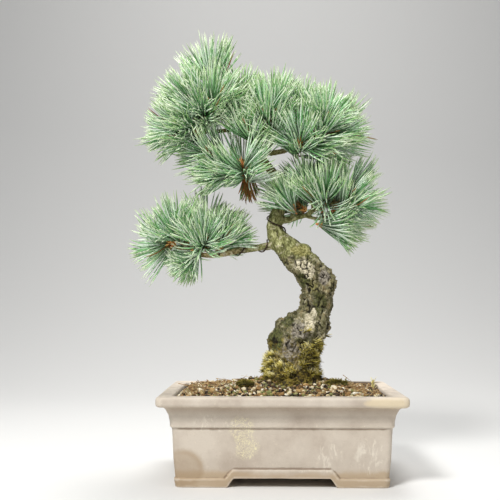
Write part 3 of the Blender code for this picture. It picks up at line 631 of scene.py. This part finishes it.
bark = Finish("pine_bark", 0.88)
up = bark.height()
grown = bark.mapped((1, 1, 0.45))
rough_bark = bark.ramp(
    bark.noise(150, 8, 0.72, at=grown, warp=0.8),
    (0.36, shade(38, 32, 18)), (0.42, shade(76, 70, 42)), (0.48, shade(112, 108, 78)), (0.53, shade(136, 130, 100)),
    (0.58, shade(122, 102, 62)), (0.63, shade(192, 184, 148)), (0.7, shade(92, 72, 44)),
)
olive_bark = bark.ramp(
    bark.noise(330, 7, 0.72, at=grown, warp=0.4),
    (0.36, shade(52, 50, 26)), (0.46, shade(100, 100, 58)), (0.55, shade(142, 142, 92)), (0.66, shade(200, 198, 152)),
)
twig_bark = bark.ramp(
    bark.noise(420, 6, 0.7), (0.36, shade(84, 68, 42)), (0.5, shade(150, 136, 92)), (0.64, shade(204, 192, 146)),
)
skin_colour = bark.mix(bark.fade(bark.sum("ADD", up, bark.sum("MULTIPLY", bark.noise(60, 3), 0.03)), 0.206, 0.224), rough_bark, olive_bark)
sideways = bark.sum("ABSOLUTE", bark.sum("SUBTRACT", bark.height("X"), pot_middle + 0.003))
high_twigs = bark.sum("MULTIPLY", bark.fade(sideways, 0.028, 0.05), bark.fade(up, 0.185, 0.2))
high_twigs = bark.sum("MAXIMUM", high_twigs, bark.fade(up, 0.262, 0.29))
skin_colour = bark.mix(high_twigs, skin_colour, twig_bark)
lichen_mask = bark.sum("MULTIPLY", bark.fade(bark.noise(95, 8, 0.72, warp=0.9), 0.545, 0.575), bark.fade(up, 0.255, 0.22))
skin_colour = bark.mix(bark.sum("MULTIPLY", lichen_mask, 0.85), skin_colour, bark.ramp(
    bark.noise(700, 5, 0.7), (0.35, shade(150, 142, 114)), (0.7, shade(214, 206, 178)),
))
weathered = bark.sum("MULTIPLY", bark.fade(bark.noise(62, 6, 0.7, warp=0.7), 0.5, 0.6), bark.fade(up, 0.225, 0.2))
skin_colour = bark.mix(bark.sum("MULTIPLY", weathered, 0.75), skin_colour, bark.ramp(
    bark.noise(520, 6, 0.72), (0.38, shade(30, 28, 14)), (0.52, shade(66, 66, 38)), (0.66, shade(120, 116, 70)),
))
lichen_tones = (0.38, shade(120, 114, 88)), (0.48, shade(196, 186, 156)), (0.58, shade(240, 230, 204))
grey_tones = (0.38, shade(66, 60, 52)), (0.5, shade(136, 128, 116)), (0.62, shade(188, 180, 166))
green_tones = (0.38, shade(30, 32, 14)), (0.52, shade(72, 78, 40)), (0.66, shade(136, 134, 72))
gold_tones = (0.38, shade(66, 64, 28)), (0.5, shade(136, 130, 72)), (0.62, shade(204, 196, 142))
rust_tones = (0.4, shade(54, 26, 14)), (0.52, shade(116, 70, 42)), (0.64, shade(190, 140, 88))
for centre, size, tones, strength in (
    ((21, -16, 181), (9, 16, 9), green_tones, 0.8), ((-5, -16, 126), (9, 18, 13), green_tones, 0.85),
    ((6, -18, 144), (7, 16, 7), green_tones, 0.8), ((38, -10, 160), (8, 16, 12), green_tones, 0.6),
    ((20, -16, 211), (11, 16, 7), gold_tones, 0.8), ((30, -18, 176), (9, 14, 7), gold_tones, 0.6),
    ((24, -20, 163), (6, 14, 5), rust_tones, 0.9), ((42, -16, 186), (7, 18, 9), grey_tones, 0.85),
    ((19, -20, 136), (11, 16, 9), grey_tones, 0.75), ((9, -24, 117), (10, 16, 12), grey_tones, 0.9),
    ((19.5, -16, 197), (9, 18, 8), lichen_tones, 0.9), ((27, -18, 191), (6, 16, 8), lichen_tones, 0.85),
    ((27, -20, 143), (6, 14, 11), lichen_tones, 0.9), ((31, -18, 152), (4, 14, 7), lichen_tones, 0.8),
):
    spot = bark.near(centre, size, 1.6, 170)
    skin_colour = bark.mix(
        bark.sum("MULTIPLY", spot, strength), skin_colour, bark.ramp(bark.noise(430, 7, 0.75), *tones),
    )
# The bark darkens towards the foot of the trunk.
trunk_foot_level = bark.sum("ADD", up, bark.sum("MULTIPLY", bark.noise(120, 5, 0.65), 0.02))
skin_colour = bark.mix(bark.sum("MULTIPLY", bark.fade(trunk_foot_level, 0.112, 0.103), 0.88), skin_colour, shade(46, 36, 20))
# Painted shade darkens the bark's fissures, together with the darker inner bark that shows in them.
skin_colour = bark.mix(bark.sum("MULTIPLY", bark.fade(bark.attribute("fissure_shade"), 0.45, 0.85), 0.92), skin_colour, shade(28, 23, 14))
moss_low = bark.sum("ADD", up, bark.sum("MULTIPLY", bark.noise(75, 5, 0.65), 0.075))
moss_mask = bark.sum("MULTIPLY", bark.fade(moss_low, 0.166, 0.148), bark.fade(bark.noise(240, 5, 0.7), 0.42, 0.55))
skin_colour = bark.mix(bark.sum("MULTIPLY", moss_mask, 0.8), skin_colour, bark.ramp(
    bark.noise(900, 4, 0.7), (0.4, shade(80, 68, 26)), (0.6, shade(170, 150, 66)),
))
bark.bumped(bark.sum("ADD", bark.noise(900, 6, 0.7, at=grown), bark.sum("MULTIPLY", bark.noise(340, 5, 0.7, at=grown), 1.2)), 0.75, 0.0006)
bark.surface.inputs["Specular IOR Level"].default_value = 0.25
wood.data.materials.append(bark.coloured(skin_colour))
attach(wood, "root")
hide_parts("tree_wood")

# ----------------------------------------------------------------------------------------------
# Training wire: soft annealed wire, gone dark, wound round the upper trunk and out along the
# left branch to hold its bend.
# ----------------------------------------------------------------------------------------------
dark_wire = Finish("annealed_wire", 0.42)
dark_wire.surface.inputs["Metallic"].default_value = 0.75
dark_wire.bumped(dark_wire.noise(1400, 4), 0.3, 0.0002)
dark_wire.coloured(dark_wire.ramp(
    dark_wire.noise(420, 5, 0.7), (0.35, shade(44, 34, 28)), (0.6, shade(76, 60, 48)), (0.8, shade(112, 92, 72)),
))
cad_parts["training_wire"].data.materials.clear()
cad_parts["training_wire"].data.materials.append(dark_wire.material)

# ----------------------------------------------------------------------------------------------
# Moss: yellow-green moss that has crept up the foot of the trunk in ragged patches, and three low
# cushions of it on the soil. It is growing where it is: nothing holds it.
# ----------------------------------------------------------------------------------------------
moss = Finish("living_moss", 0.95)
moss.bumped(moss.noise(1500, 4, 0.7), 0.8, 0.0006)
moss_tone = moss.ramp(
    moss.attribute("tone"),
    (0.0, shade(64, 58, 22)), (0.28, shade(150, 138, 48)), (0.55, shade(236, 218, 104)), (1.0, shade(255, 246, 190)),
)
moss.coloured(moss.mix(moss.fade(moss.noise(260, 5, 0.7), 0.56, 0.68), moss_tone, shade(128, 112, 46)))
frond_bm = bmesh.new()
bmesh.ops.create_cone(
    frond_bm, cap_ends=True, segments=3, radius1=1, radius2=0.25, depth=1,
    matrix=Matrix.Translation((0, 0, 0.5)),
)
frond, frond_faces = corners_of(frond_bm)
frond_bm.free()
tuft_chance = np.random.default_rng(41)


def unit(vectors):
    return vectors / np.linalg.norm(vectors, axis=-1, keepdims=True)


def crosswise(ways):
    """Two directions square to each of the given ones."""
    helper = np.where(np.abs(ways[..., 2:3]) < 0.9, [[0.0, 0.0, 1.0]], [[1.0, 0.0, 0.0]])
    first = unit(np.cross(ways, helper))
    return first, np.cross(ways, first)


def drawn(shape, bases, tips, bows, widths, turns, taper):
    """Long thin shapes drawn from base to tip, bowed sideways, as corner places."""
    reach = tips - bases
    ways = unit(reach)
    side, over = crosswise(ways)
    spin_cos, spin_sin = np.cos(turns)[:, None], np.sin(turns)[:, None]
    side, over = side * spin_cos + over * spin_sin, over * spin_cos - side * spin_sin
    t = shape[:, 2]
    width = widths[:, None] * taper(t)[None]
    middle = bases[:, None] + reach[:, None] * t[None, :, None]
    middle = middle + bows[:, None] * (4 * t * (1 - t))[None, :, None]
    return (
        middle
        + side[:, None] * (shape[:, 0][None] * width)[..., None]
        + over[:, None] * (shape[:, 1][None] * width)[..., None]
    )


mossy_spots, mossy_ways = [], []
skin = wood.data
for face in skin.polygons:
    place = face.center / MM
    if not 82 < place.z < 136:
        continue
    ragged = noise.fractal(place / 8, 0.8, 2.0, 3) * 18
    from_middle = place.x - pot_middle / MM
    right_side = 14 if from_middle > 16 else 0
    bare = abs(from_middle - 8.5) < 9 and place.z > 104 and place.y < 0
    if bare or place.z + ragged > 110 + right_side or place.z + 0.35 * ragged < 94:
        continue
    if noise.noise(place / 6.5 + Vector((0, 9, 0))) < 0.0:
        continue
    mossy_spots.append(face.center.copy())
    mossy_ways.append(face.normal.copy())
pick = tuft_chance.permutation(len(mossy_spots))[:900]
mossy_spots = [mossy_spots[i] for i in pick]
mossy_ways = [mossy_ways[i] for i in pick]
on_trunk = len(pick)
for node in ("moss_cushion_left", "moss_cushion_right", "moss_cushion_back"):
    low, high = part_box(node)
    middle = (low + high) / 2
    cushion_bm = bmesh.new()
    bmesh.ops.create_icosphere(cushion_bm, subdivisions=4, radius=1)
    for corner in cushion_bm.verts:
        way = corner.co.copy()
        lump = 1 + 0.3 * noise.noise(way * 2.1 + middle * 300) + 0.12 * noise.noise(way * 6)
        reach = Vector(((high.x - low.x) / 2, (high.y - low.y) / 2, (high.z - low.z) * 0.55))
        corner.co = middle + Vector([w * r * lump * 0.9 for w, r in zip(way, reach)]) - Vector((0, 0, 0.0022))
    for corner in cushion_bm.verts:
        if corner.co.z > middle.z - 0.0015 and tuft_chance.random() < 0.2:
            mossy_spots.append(corner.co.copy())
            mossy_ways.append((corner.co - middle).normalized())
    cushion = piece_from(node.replace("cushion", "pad"), cushion_bm, moss.material)
    pad_tone = cushion.data.attributes.new("tone", "FLOAT", "POINT")
    pad_tone.data.foreach_set("value", [0.4 * abs(noise.noise(v.co * 300)) for v in cushion.data.vertices])
    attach(cushion, "root")
    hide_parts(node)
creeping = 0
while creeping < 70:
    turn = tuft_chance.random() * 2 * math.pi
    away = tuft_chance.uniform(0.024, 0.040)
    x = pot_middle + 0.011 + math.cos(turn) * away * 1.25
    y = math.sin(turn) * away
    z = ground_at(x, y)
    if z is None or noise.noise(Vector((x, y, 0)) * 70) < -0.05:
        continue
    mossy_spots.append(Vector((x, y, z + 0.001)))
    mossy_ways.append(Vector((0, 0, 1)))
    creeping += 1
roots = np.repeat(np.array([tuple(p) for p in mossy_spots]), 7, axis=0)
outward = np.repeat(np.array([tuple(w) for w in mossy_ways]), 7, axis=0)
scatter = tuft_chance.normal(size=roots.shape)
leaning = unit(outward + 0.75 * scatter + np.array([0, 0, 0.35]))
roots = roots + 0.0007 * scatter
frond_reach = tuft_chance.uniform(0.0016, 0.0056, (len(roots), 1))
frond_reach[7 * on_trunk:] *= 0.55
fronds = drawn(
    frond, roots - outward * 0.0008, roots + leaning * frond_reach,
    roots * 0, tuft_chance.uniform(0.0004, 0.0008, len(roots)), tuft_chance.random(len(roots)) * 6,
    lambda t: 1 - 0.3 * t,
)
# Fronds that point upward are painted lighter, as if lit from above, and longer fronds are lighter too; fronds on the
# soil and cushions are darker.
frond_tone_and_top_light = np.clip(0.2 * outward[:, 2] + 0.55 * frond_reach[:, 0] / 0.0056 + 0.4 * scatter[:, 2], 0, 1)
frond_tone_and_top_light[7 * on_trunk:] *= 0.25
collar = repeated("moss_fronds", fronds, frond_faces, frond_tone_and_top_light, moss.material)
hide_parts("moss_collar")

# ----------------------------------------------------------------------------------------------
# Litter: fallen needles gone to straw, bits of broken bark, and a few pale sprouts of weed that
# have come up through the grit.
# ----------------------------------------------------------------------------------------------
straw = Finish("straw", 0.7)
straw.coloured(straw.ramp(
    straw.attribute("tone"), (0.0, shade(214, 190, 140)), (0.5, shade(180, 142, 92)), (1.0, shade(136, 96, 56)),
))
fallen = strewn(60, margin=16, trunk_gap=6)
lying = tuft_chance.random(60) * 2 * math.pi
lengths = tuft_chance.uniform(0.012, 0.034, (60, 1))
ways = np.stack([np.cos(lying), np.sin(lying), tuft_chance.uniform(-0.08, 0.2, 60)], -1)
fallen[:, 2] += 0.0034
for at, way, length in (
    ((-86, -32, 85.5), (0.75, 0.5, -0.18), 0.021), ((67, 20, 86.5), (0.8, 0.1, -0.6), 0.014),
    ((-82, -20, 84.5), (0.9, -0.3, 0.12), 0.018), ((-76, -40, 84), (0.6, 0.7, 0.1), 0.016),
):
    fallen[0], ways[0], lengths[0] = np.array(at) * MM + [pot_middle, 0, 0], way, length
    fallen, ways, lengths = (np.roll(values, -1, axis=0) for values in (fallen, ways, lengths))
laid = drawn(
    frond, fallen - ways * lengths / 2, fallen + ways * lengths / 2, ways[:, [1, 0, 2]] * 0.002,
    np.full(60, 0.00042), lying, lambda t: 1 - 0.4 * t,
)
repeated("fallen_needles", laid, frond_faces, tuft_chance.random(60), straw.material)
chaff_spots = strewn(2600, margin=3, trunk_gap=1)
from_middle = chaff_spots[:, 0] - pot_middle
dry_ends = (from_middle < -0.052) | (from_middle > 0.048) | (tuft_chance.random(2600) < 0.3)
chaff_spots = chaff_spots[dry_ends]
shreds = len(chaff_spots)
chaff_spots[:, 2] += tuft_chance.uniform(0.0006, 0.0034, shreds)
chaff_ways = unit(tuft_chance.normal(size=(shreds, 3)) * [1, 1, 0.45])
chaff_long = tuft_chance.uniform(0.0016, 0.0052, (shreds, 1))
chaff = drawn(
    frond, chaff_spots - chaff_ways * chaff_long / 2, chaff_spots + chaff_ways * chaff_long / 2,
    chaff_spots * 0, tuft_chance.uniform(0.00028, 0.00058, shreds), chaff_long[:, 0] * 900, lambda t: 1 - 0.3 * t,
)
repeated("chaff", chaff, frond_faces, tuft_chance.random(shreds), straw.material)
sprout_root = Vector((pot_middle + 0.089, 0.006, 0))
sprout_root.z = ground_at(sprout_root.x, sprout_root.y) or 0.076
sprig_bases, sprig_tips = [], []
for seed in range(15):
    turn, lean = seed * 2.4, tuft_chance.uniform(0.2, 1.0)
    base = np.array(sprout_root) + np.array([0, 0, 0.0006 * seed])
    reach = np.array([math.cos(turn) * lean, math.sin(turn) * lean, 1.0]) * tuft_chance.uniform(0.0034, 0.006)
    sprig_bases.append(base)
    sprig_tips.append(base + reach)
sprig = drawn(
    frond, np.array(sprig_bases), np.array(sprig_tips), np.zeros((15, 3)),
    np.full(15, 0.00095), np.arange(15.0), lambda t: 0.6 + 1.2 * t - 1.4 * t * t,
)
repeated("weed_sprout", sprig, frond_faces, tuft_chance.uniform(0.7, 1.0, 15), moss.material)

# ----------------------------------------------------------------------------------------------
# Needles: white-pine needles in bundles of five from short brown sheaths, in a brush round the
# end of every shoot. Each shoot's brush is one piece that fills its solid in the CAD model.
# ----------------------------------------------------------------------------------------------
blade_bm = bmesh.new()
bmesh.ops.create_cone(
    blade_bm, cap_ends=True, segments=3, radius1=1, radius2=1, depth=1,
    matrix=Matrix.Translation((0, 0, 0.5)),
)
rails = [e for e in blade_bm.edges if abs(e.verts[0].co.z - e.verts[1].co.z) > 0.5]
bmesh.ops.subdivide_edges(blade_bm, edges=rails, cuts=5, use_grid_fill=False)
blade, blade_faces = corners_of(blade_bm)
blade_bm.free()
blade_turn = (np.arctan2(blade[:, 1], blade[:, 0]) / (2 * math.pi)) % 1.0
turns = blade_turn[blade_faces]
turns = np.where((turns.max(1) - turns.min(1) > 0.5)[:, None] & (turns < 0.5), turns + 1, turns)
across = (turns / (4 / 3)).reshape(-1)
along = blade[blade_faces, 2].reshape(-1)

needle = Finish("pine_needle", 0.42)
lengthwise = needle.tree.nodes.new("ShaderNodeUVMap")
lengthwise.uv_map = "OFBake"
split = needle.tree.nodes.new("ShaderNodeSeparateXYZ")
needle.put(lengthwise.outputs[0], split.inputs[0])
out_along = split.outputs["Y"]
tone = needle.attribute("tone")
green = needle.ramp(
    tone,
    (0.0, shade(66, 118, 64)), (0.3, shade(116, 176, 112)), (0.6, shade(170, 218, 160)), (0.85, shade(212, 238, 206)),
    (1.0, shade(188, 212, 112)),
)
pale = needle.mix(needle.fade(needle.attribute("band"), 0.4, 0.6), green, shade(226, 242, 222))
leaf = needle.mix(needle.fade(out_along, 0.62, 1.0), pale, needle.mix(0.45, pale, shade(196, 200, 134)))
in_shade = needle.sum("MULTIPLY", needle.fade(out_along, 0.6, 0.1), 0.66)
leaf = needle.mix(in_shade, leaf, needle.mix(tone, shade(34, 62, 32), shade(82, 118, 66)))
leaf = needle.mix(needle.fade(out_along, 0.15, 0.04), leaf, shade(190, 128, 66))
leaf = needle.mix(needle.fade(tone, 0.018, 0.012), leaf, shade(150, 104, 54))
needle.surface.inputs["Specular IOR Level"].default_value = 0.4
needle.coloured(leaf)

sheath_bm = bmesh.new()
bmesh.ops.create_cone(
    sheath_bm, cap_ends=True, segments=6, radius1=0.75, radius2=1.0, depth=1,
    matrix=Matrix.Translation((0, 0, 0.5)),
)
sheath, sheath_faces = corners_of(sheath_bm)
sheath_bm.free()
papery = Finish("needle_sheath", 0.8)
papery.coloured(papery.ramp(
    papery.attribute("tone"), (0.0, shade(160, 94, 42)), (0.5, shade(208, 136, 64)), (1.0, shade(234, 182, 110)),
))

wood_near = kdtree.KDTree(len(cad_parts["tree_wood"].data.vertices))
for number, corner in enumerate(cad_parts["tree_wood"].data.vertices):
    wood_near.insert(corner.co, number)
wood_near.balance()
needle_chance = np.random.default_rng(23)


def needle_taper(t):
    return np.minimum(1.0, 0.62 + 2.2 * t) * (1 - 0.85 * np.clip((t - 0.8) / 0.2, 0, 1) ** 2)


bud_bm = bmesh.new()
bmesh.ops.create_cone(
    bud_bm, cap_ends=True, segments=6, radius1=1, radius2=1, depth=1,
    matrix=Matrix.Translation((0, 0, 0.5)),
)
staves = [e for e in bud_bm.edges if abs(e.verts[0].co.z - e.verts[1].co.z) > 0.5]
bmesh.ops.subdivide_edges(bud_bm, edges=staves, cuts=3)
bud, bud_faces = corners_of(bud_bm)
bud_bm.free()
sheath_places, sheath_tones = [], []
bud_places = []
buds_per_shoot = 7
bundles_per_shoot = 29
for node in sorted(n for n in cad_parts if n.startswith("needles_")):
    chance = needle_chance
    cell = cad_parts[node]
    corners, merged = np.unique(
        np.round([tuple(v.co) for v in cell.data.vertices], 6), axis=0, return_inverse=True,
    )
    merged = merged.reshape(-1)
    meeting = np.bincount(merged[[i for p in cell.data.polygons for i in p.vertices]])
    poles = sorted(np.argsort(meeting)[-3:], key=lambda pole: wood_near.find(corners[pole])[2])
    apex = corners[poles[0]]
    reaches = np.linalg.norm(corners - apex, axis=1)
    longest = reaches.max()
    far_pole = corners[max(poles[1:], key=lambda pole: meeting[pole])]
    aim = unit(far_pole - apex)
    spread = max(
        math.acos(max(-1.0, min(1.0, float(unit(c - apex) @ aim)))) for c, r in zip(corners, reaches) if r > 0.3 * longest
    )
    cell_hit = tree_of(cell)
    side, over = crosswise(aim[None])
    bases, tips, bows, tones, sheath_ends = [], [], [], [], []
    tries = 0
    wanted = 7 if node.endswith("centre_hanging") else bundles_per_shoot
    while len(bases) < wanted and tries < 4000:
        tries += 1
        lean = math.acos(1 - chance.random() * (1 - math.cos(spread)))
        if lean < 0.3 and chance.random() > 0.35:
            continue
        turn = chance.random() * 2 * math.pi
        way = aim * math.cos(lean) + (side[0] * math.cos(turn) + over[0] * math.sin(turn)) * math.sin(lean)
        _, _, _, room = cell_hit.ray_cast(Vector(apex + way * 0.0006), Vector(way))
        if room is None or room < 0.45 * longest:
            continue
        tip = apex + way * longest * chance.uniform(0.84, 1.16)
        down_the_shoot = 0.011 if node.startswith("needles_left") else 0.023
        back = (0.15 + 0.85 * lean / spread) * chance.uniform(0.0, down_the_shoot)
        base = apex - aim * back + way * 0.0008
        bases.append(base)
        tips.append(tip)
        bow = aim * chance.uniform(0.0, 0.0035) + np.array([0, 0, chance.uniform(-0.0042, 0.0004)])
        bows.append(bow)
        # Bundles set further back down the shoot get a darker tone: painted shade inside the brush, together with the
        # older needles there.
        tones.append(chance.random() * (1 - 28 * back))
    bases, tips, bows, tones = map(np.array, (bases, tips, bows, tones))
    many = len(bases)
    ways = unit(tips - bases)
    first, second = crosswise(ways)
    all_bases, all_tips, all_bows, all_tones = [], [], [], []
    start_turn = chance.random(many) * 2 * math.pi
    for fifth in range(5):
        turn = (start_turn + fifth * 2 * math.pi / 5)[:, None]
        out = first * np.cos(turn) + second * np.sin(turn)
        open_by = chance.uniform(0.0012, 0.0066, (many, 1))
        all_bases.append(bases + out * 0.00035)
        shorter = chance.uniform(0.9, 1.0, (many, 1))
        all_tips.append(bases + (tips - bases) * shorter + out * open_by)
        all_bows.append(bows + out * chance.uniform(0.0, 0.0012, (many, 1)))
        all_tones.append(np.clip(tones * 0.6 + chance.random(many) * 0.4, 0.02, 1))
    all_bases, all_tips, all_bows = map(np.concatenate, (all_bases, all_tips, all_bows))
    all_tones = np.concatenate(all_tones)
    dead = chance.random(len(all_tones)) < (0.6 if node.endswith("centre_hanging") else 0.005)
    all_tones[dead] = 0.005
    widths = chance.uniform(0.00062, 0.00080, len(all_tones))
    turns = chance.random(len(all_tones)) * 2 * math.pi
    places = drawn(blade, all_bases, all_tips, all_bows, widths, turns, needle_taper)
    brush = repeated(
        node.replace("needles_", "brush_"), places, blade_faces, all_tones,
        needle.material, True, (across, along),
    )
    band = brush.data.attributes.new("band", "FLOAT", "FACE")
    sides = (np.floor(blade_turn[blade_faces].mean(1) * 3) % 3 == 1).astype(np.float32)
    band.data.foreach_set("value", np.tile(sides, len(all_tones)))
    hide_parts(node)
    ends = bases + ways * 0.0065
    sheath_places.append(drawn(
        sheath, bases - ways * 0.0006, ends, ends * 0, np.full(many, 0.00095), start_turn, lambda t: 1 - 0.25 * t,
    ))
    sheath_tones.append(chance.random(many))
    turn = np.arange(buds_per_shoot) * 2.4
    splay = np.linspace(0.0, 0.75, buds_per_shoot)
    round_about = side * np.cos(turn)[:, None] + over * np.sin(turn)[:, None]
    bud_ways = unit(aim[None] + round_about * splay[:, None])
    bud_bases = apex[None] - aim * 0.001 + round_about * 0.0007
    bud_places.append(drawn(
        bud, bud_bases, bud_bases + bud_ways * chance.uniform(0.006, 0.0115, (buds_per_shoot, 1)), bud_ways * 0,
        chance.uniform(0.0008, 0.0012, buds_per_shoot), turn, lambda t: 0.35 + 2.2 * t - 2.5 * t * t,
    ))
repeated(
    "needle_sheaths", np.concatenate(sheath_places), sheath_faces, np.concatenate(sheath_tones),
    papery.material,
)

buds = np.concatenate(bud_places)
repeated("winter_buds", buds, bud_faces, needle_chance.random(len(buds)), papery.material)

# ----------------------------------------------------------------------------------------------
# Studio: a pale seamless floor, soft boxes on both sides and above, and the viewpoint.
# ----------------------------------------------------------------------------------------------
sweep_bm = bmesh.new()
bmesh.ops.create_grid(sweep_bm, x_segments=1, y_segments=1, size=2.2)
back = [e for e in sweep_bm.edges if all(v.co.y > 2.1 for v in e.verts)]
raised = bmesh.ops.extrude_edge_only(sweep_bm, edges=back)
bmesh.ops.translate(
    sweep_bm, vec=(0, 0, 3.5), verts=[v for v in raised["geom"] if isinstance(v, bmesh.types.BMVert)],
)
bmesh.ops.bevel(
    sweep_bm, geom=back, offset=1.6, segments=24, profile=0.5, affect="EDGES", material=-1,
)
sweep = piece_from("floor", sweep_bm, None)
paper = Finish("backdrop_paper", 0.9)
sweep.data.materials.append(paper.coloured(shade(226, 225, 222)))
world = bpy.data.worlds.new("studio")
world.use_nodes = True
world.node_tree.nodes["Background"].inputs["Color"].default_value = (0.86, 0.88, 0.92, 1)
world.node_tree.nodes["Background"].inputs["Strength"].default_value = 0.25
bpy.context.scene.world = world
for name, place, aim_at, size, power in (
    ("key_softbox", (-0.45, -0.85, 1.05), (0, 0, 0.2), 0.3, 17.0),
    ("fill_softbox", (0.9, -0.7, 0.6), (0, 0, 0.2), 0.8, 2.4),
    ("backdrop_light", (0, 1.0, 1.9), (0, 2.2, 0.5), 1.0, 9.0),
    ("top_softbox", (0.1, 0.3, 1.2), (0, 0, 0.2), 0.5, 8.0),
):
    lamp = bpy.data.lights.new(name, "AREA")
    lamp.size = size
    lamp.energy = power
    holder = bpy.data.objects.new(name, lamp)
    holder.location = place
    holder.rotation_euler = (Vector(aim_at) - Vector(place)).to_track_quat("-Z", "Y").to_euler()
    bpy.context.scene.collection.objects.link(holder)
lens = bpy.data.cameras.new("viewpoint")
lens.lens = 57.6
lens.sensor_width = 36
lens.clip_start = 0.01
viewpoint = bpy.data.objects.new("viewpoint", lens)
viewpoint.location = (pot_middle - 0.0141, -0.773, 0.1566)
viewpoint.rotation_euler = (math.radians(90 + 4.11), 0, math.radians(1.12))
bpy.context.scene.collection.objects.link(viewpoint)
bpy.context.scene.camera = viewpoint
bpy.context.scene.view_settings.view_transform = "Standard"
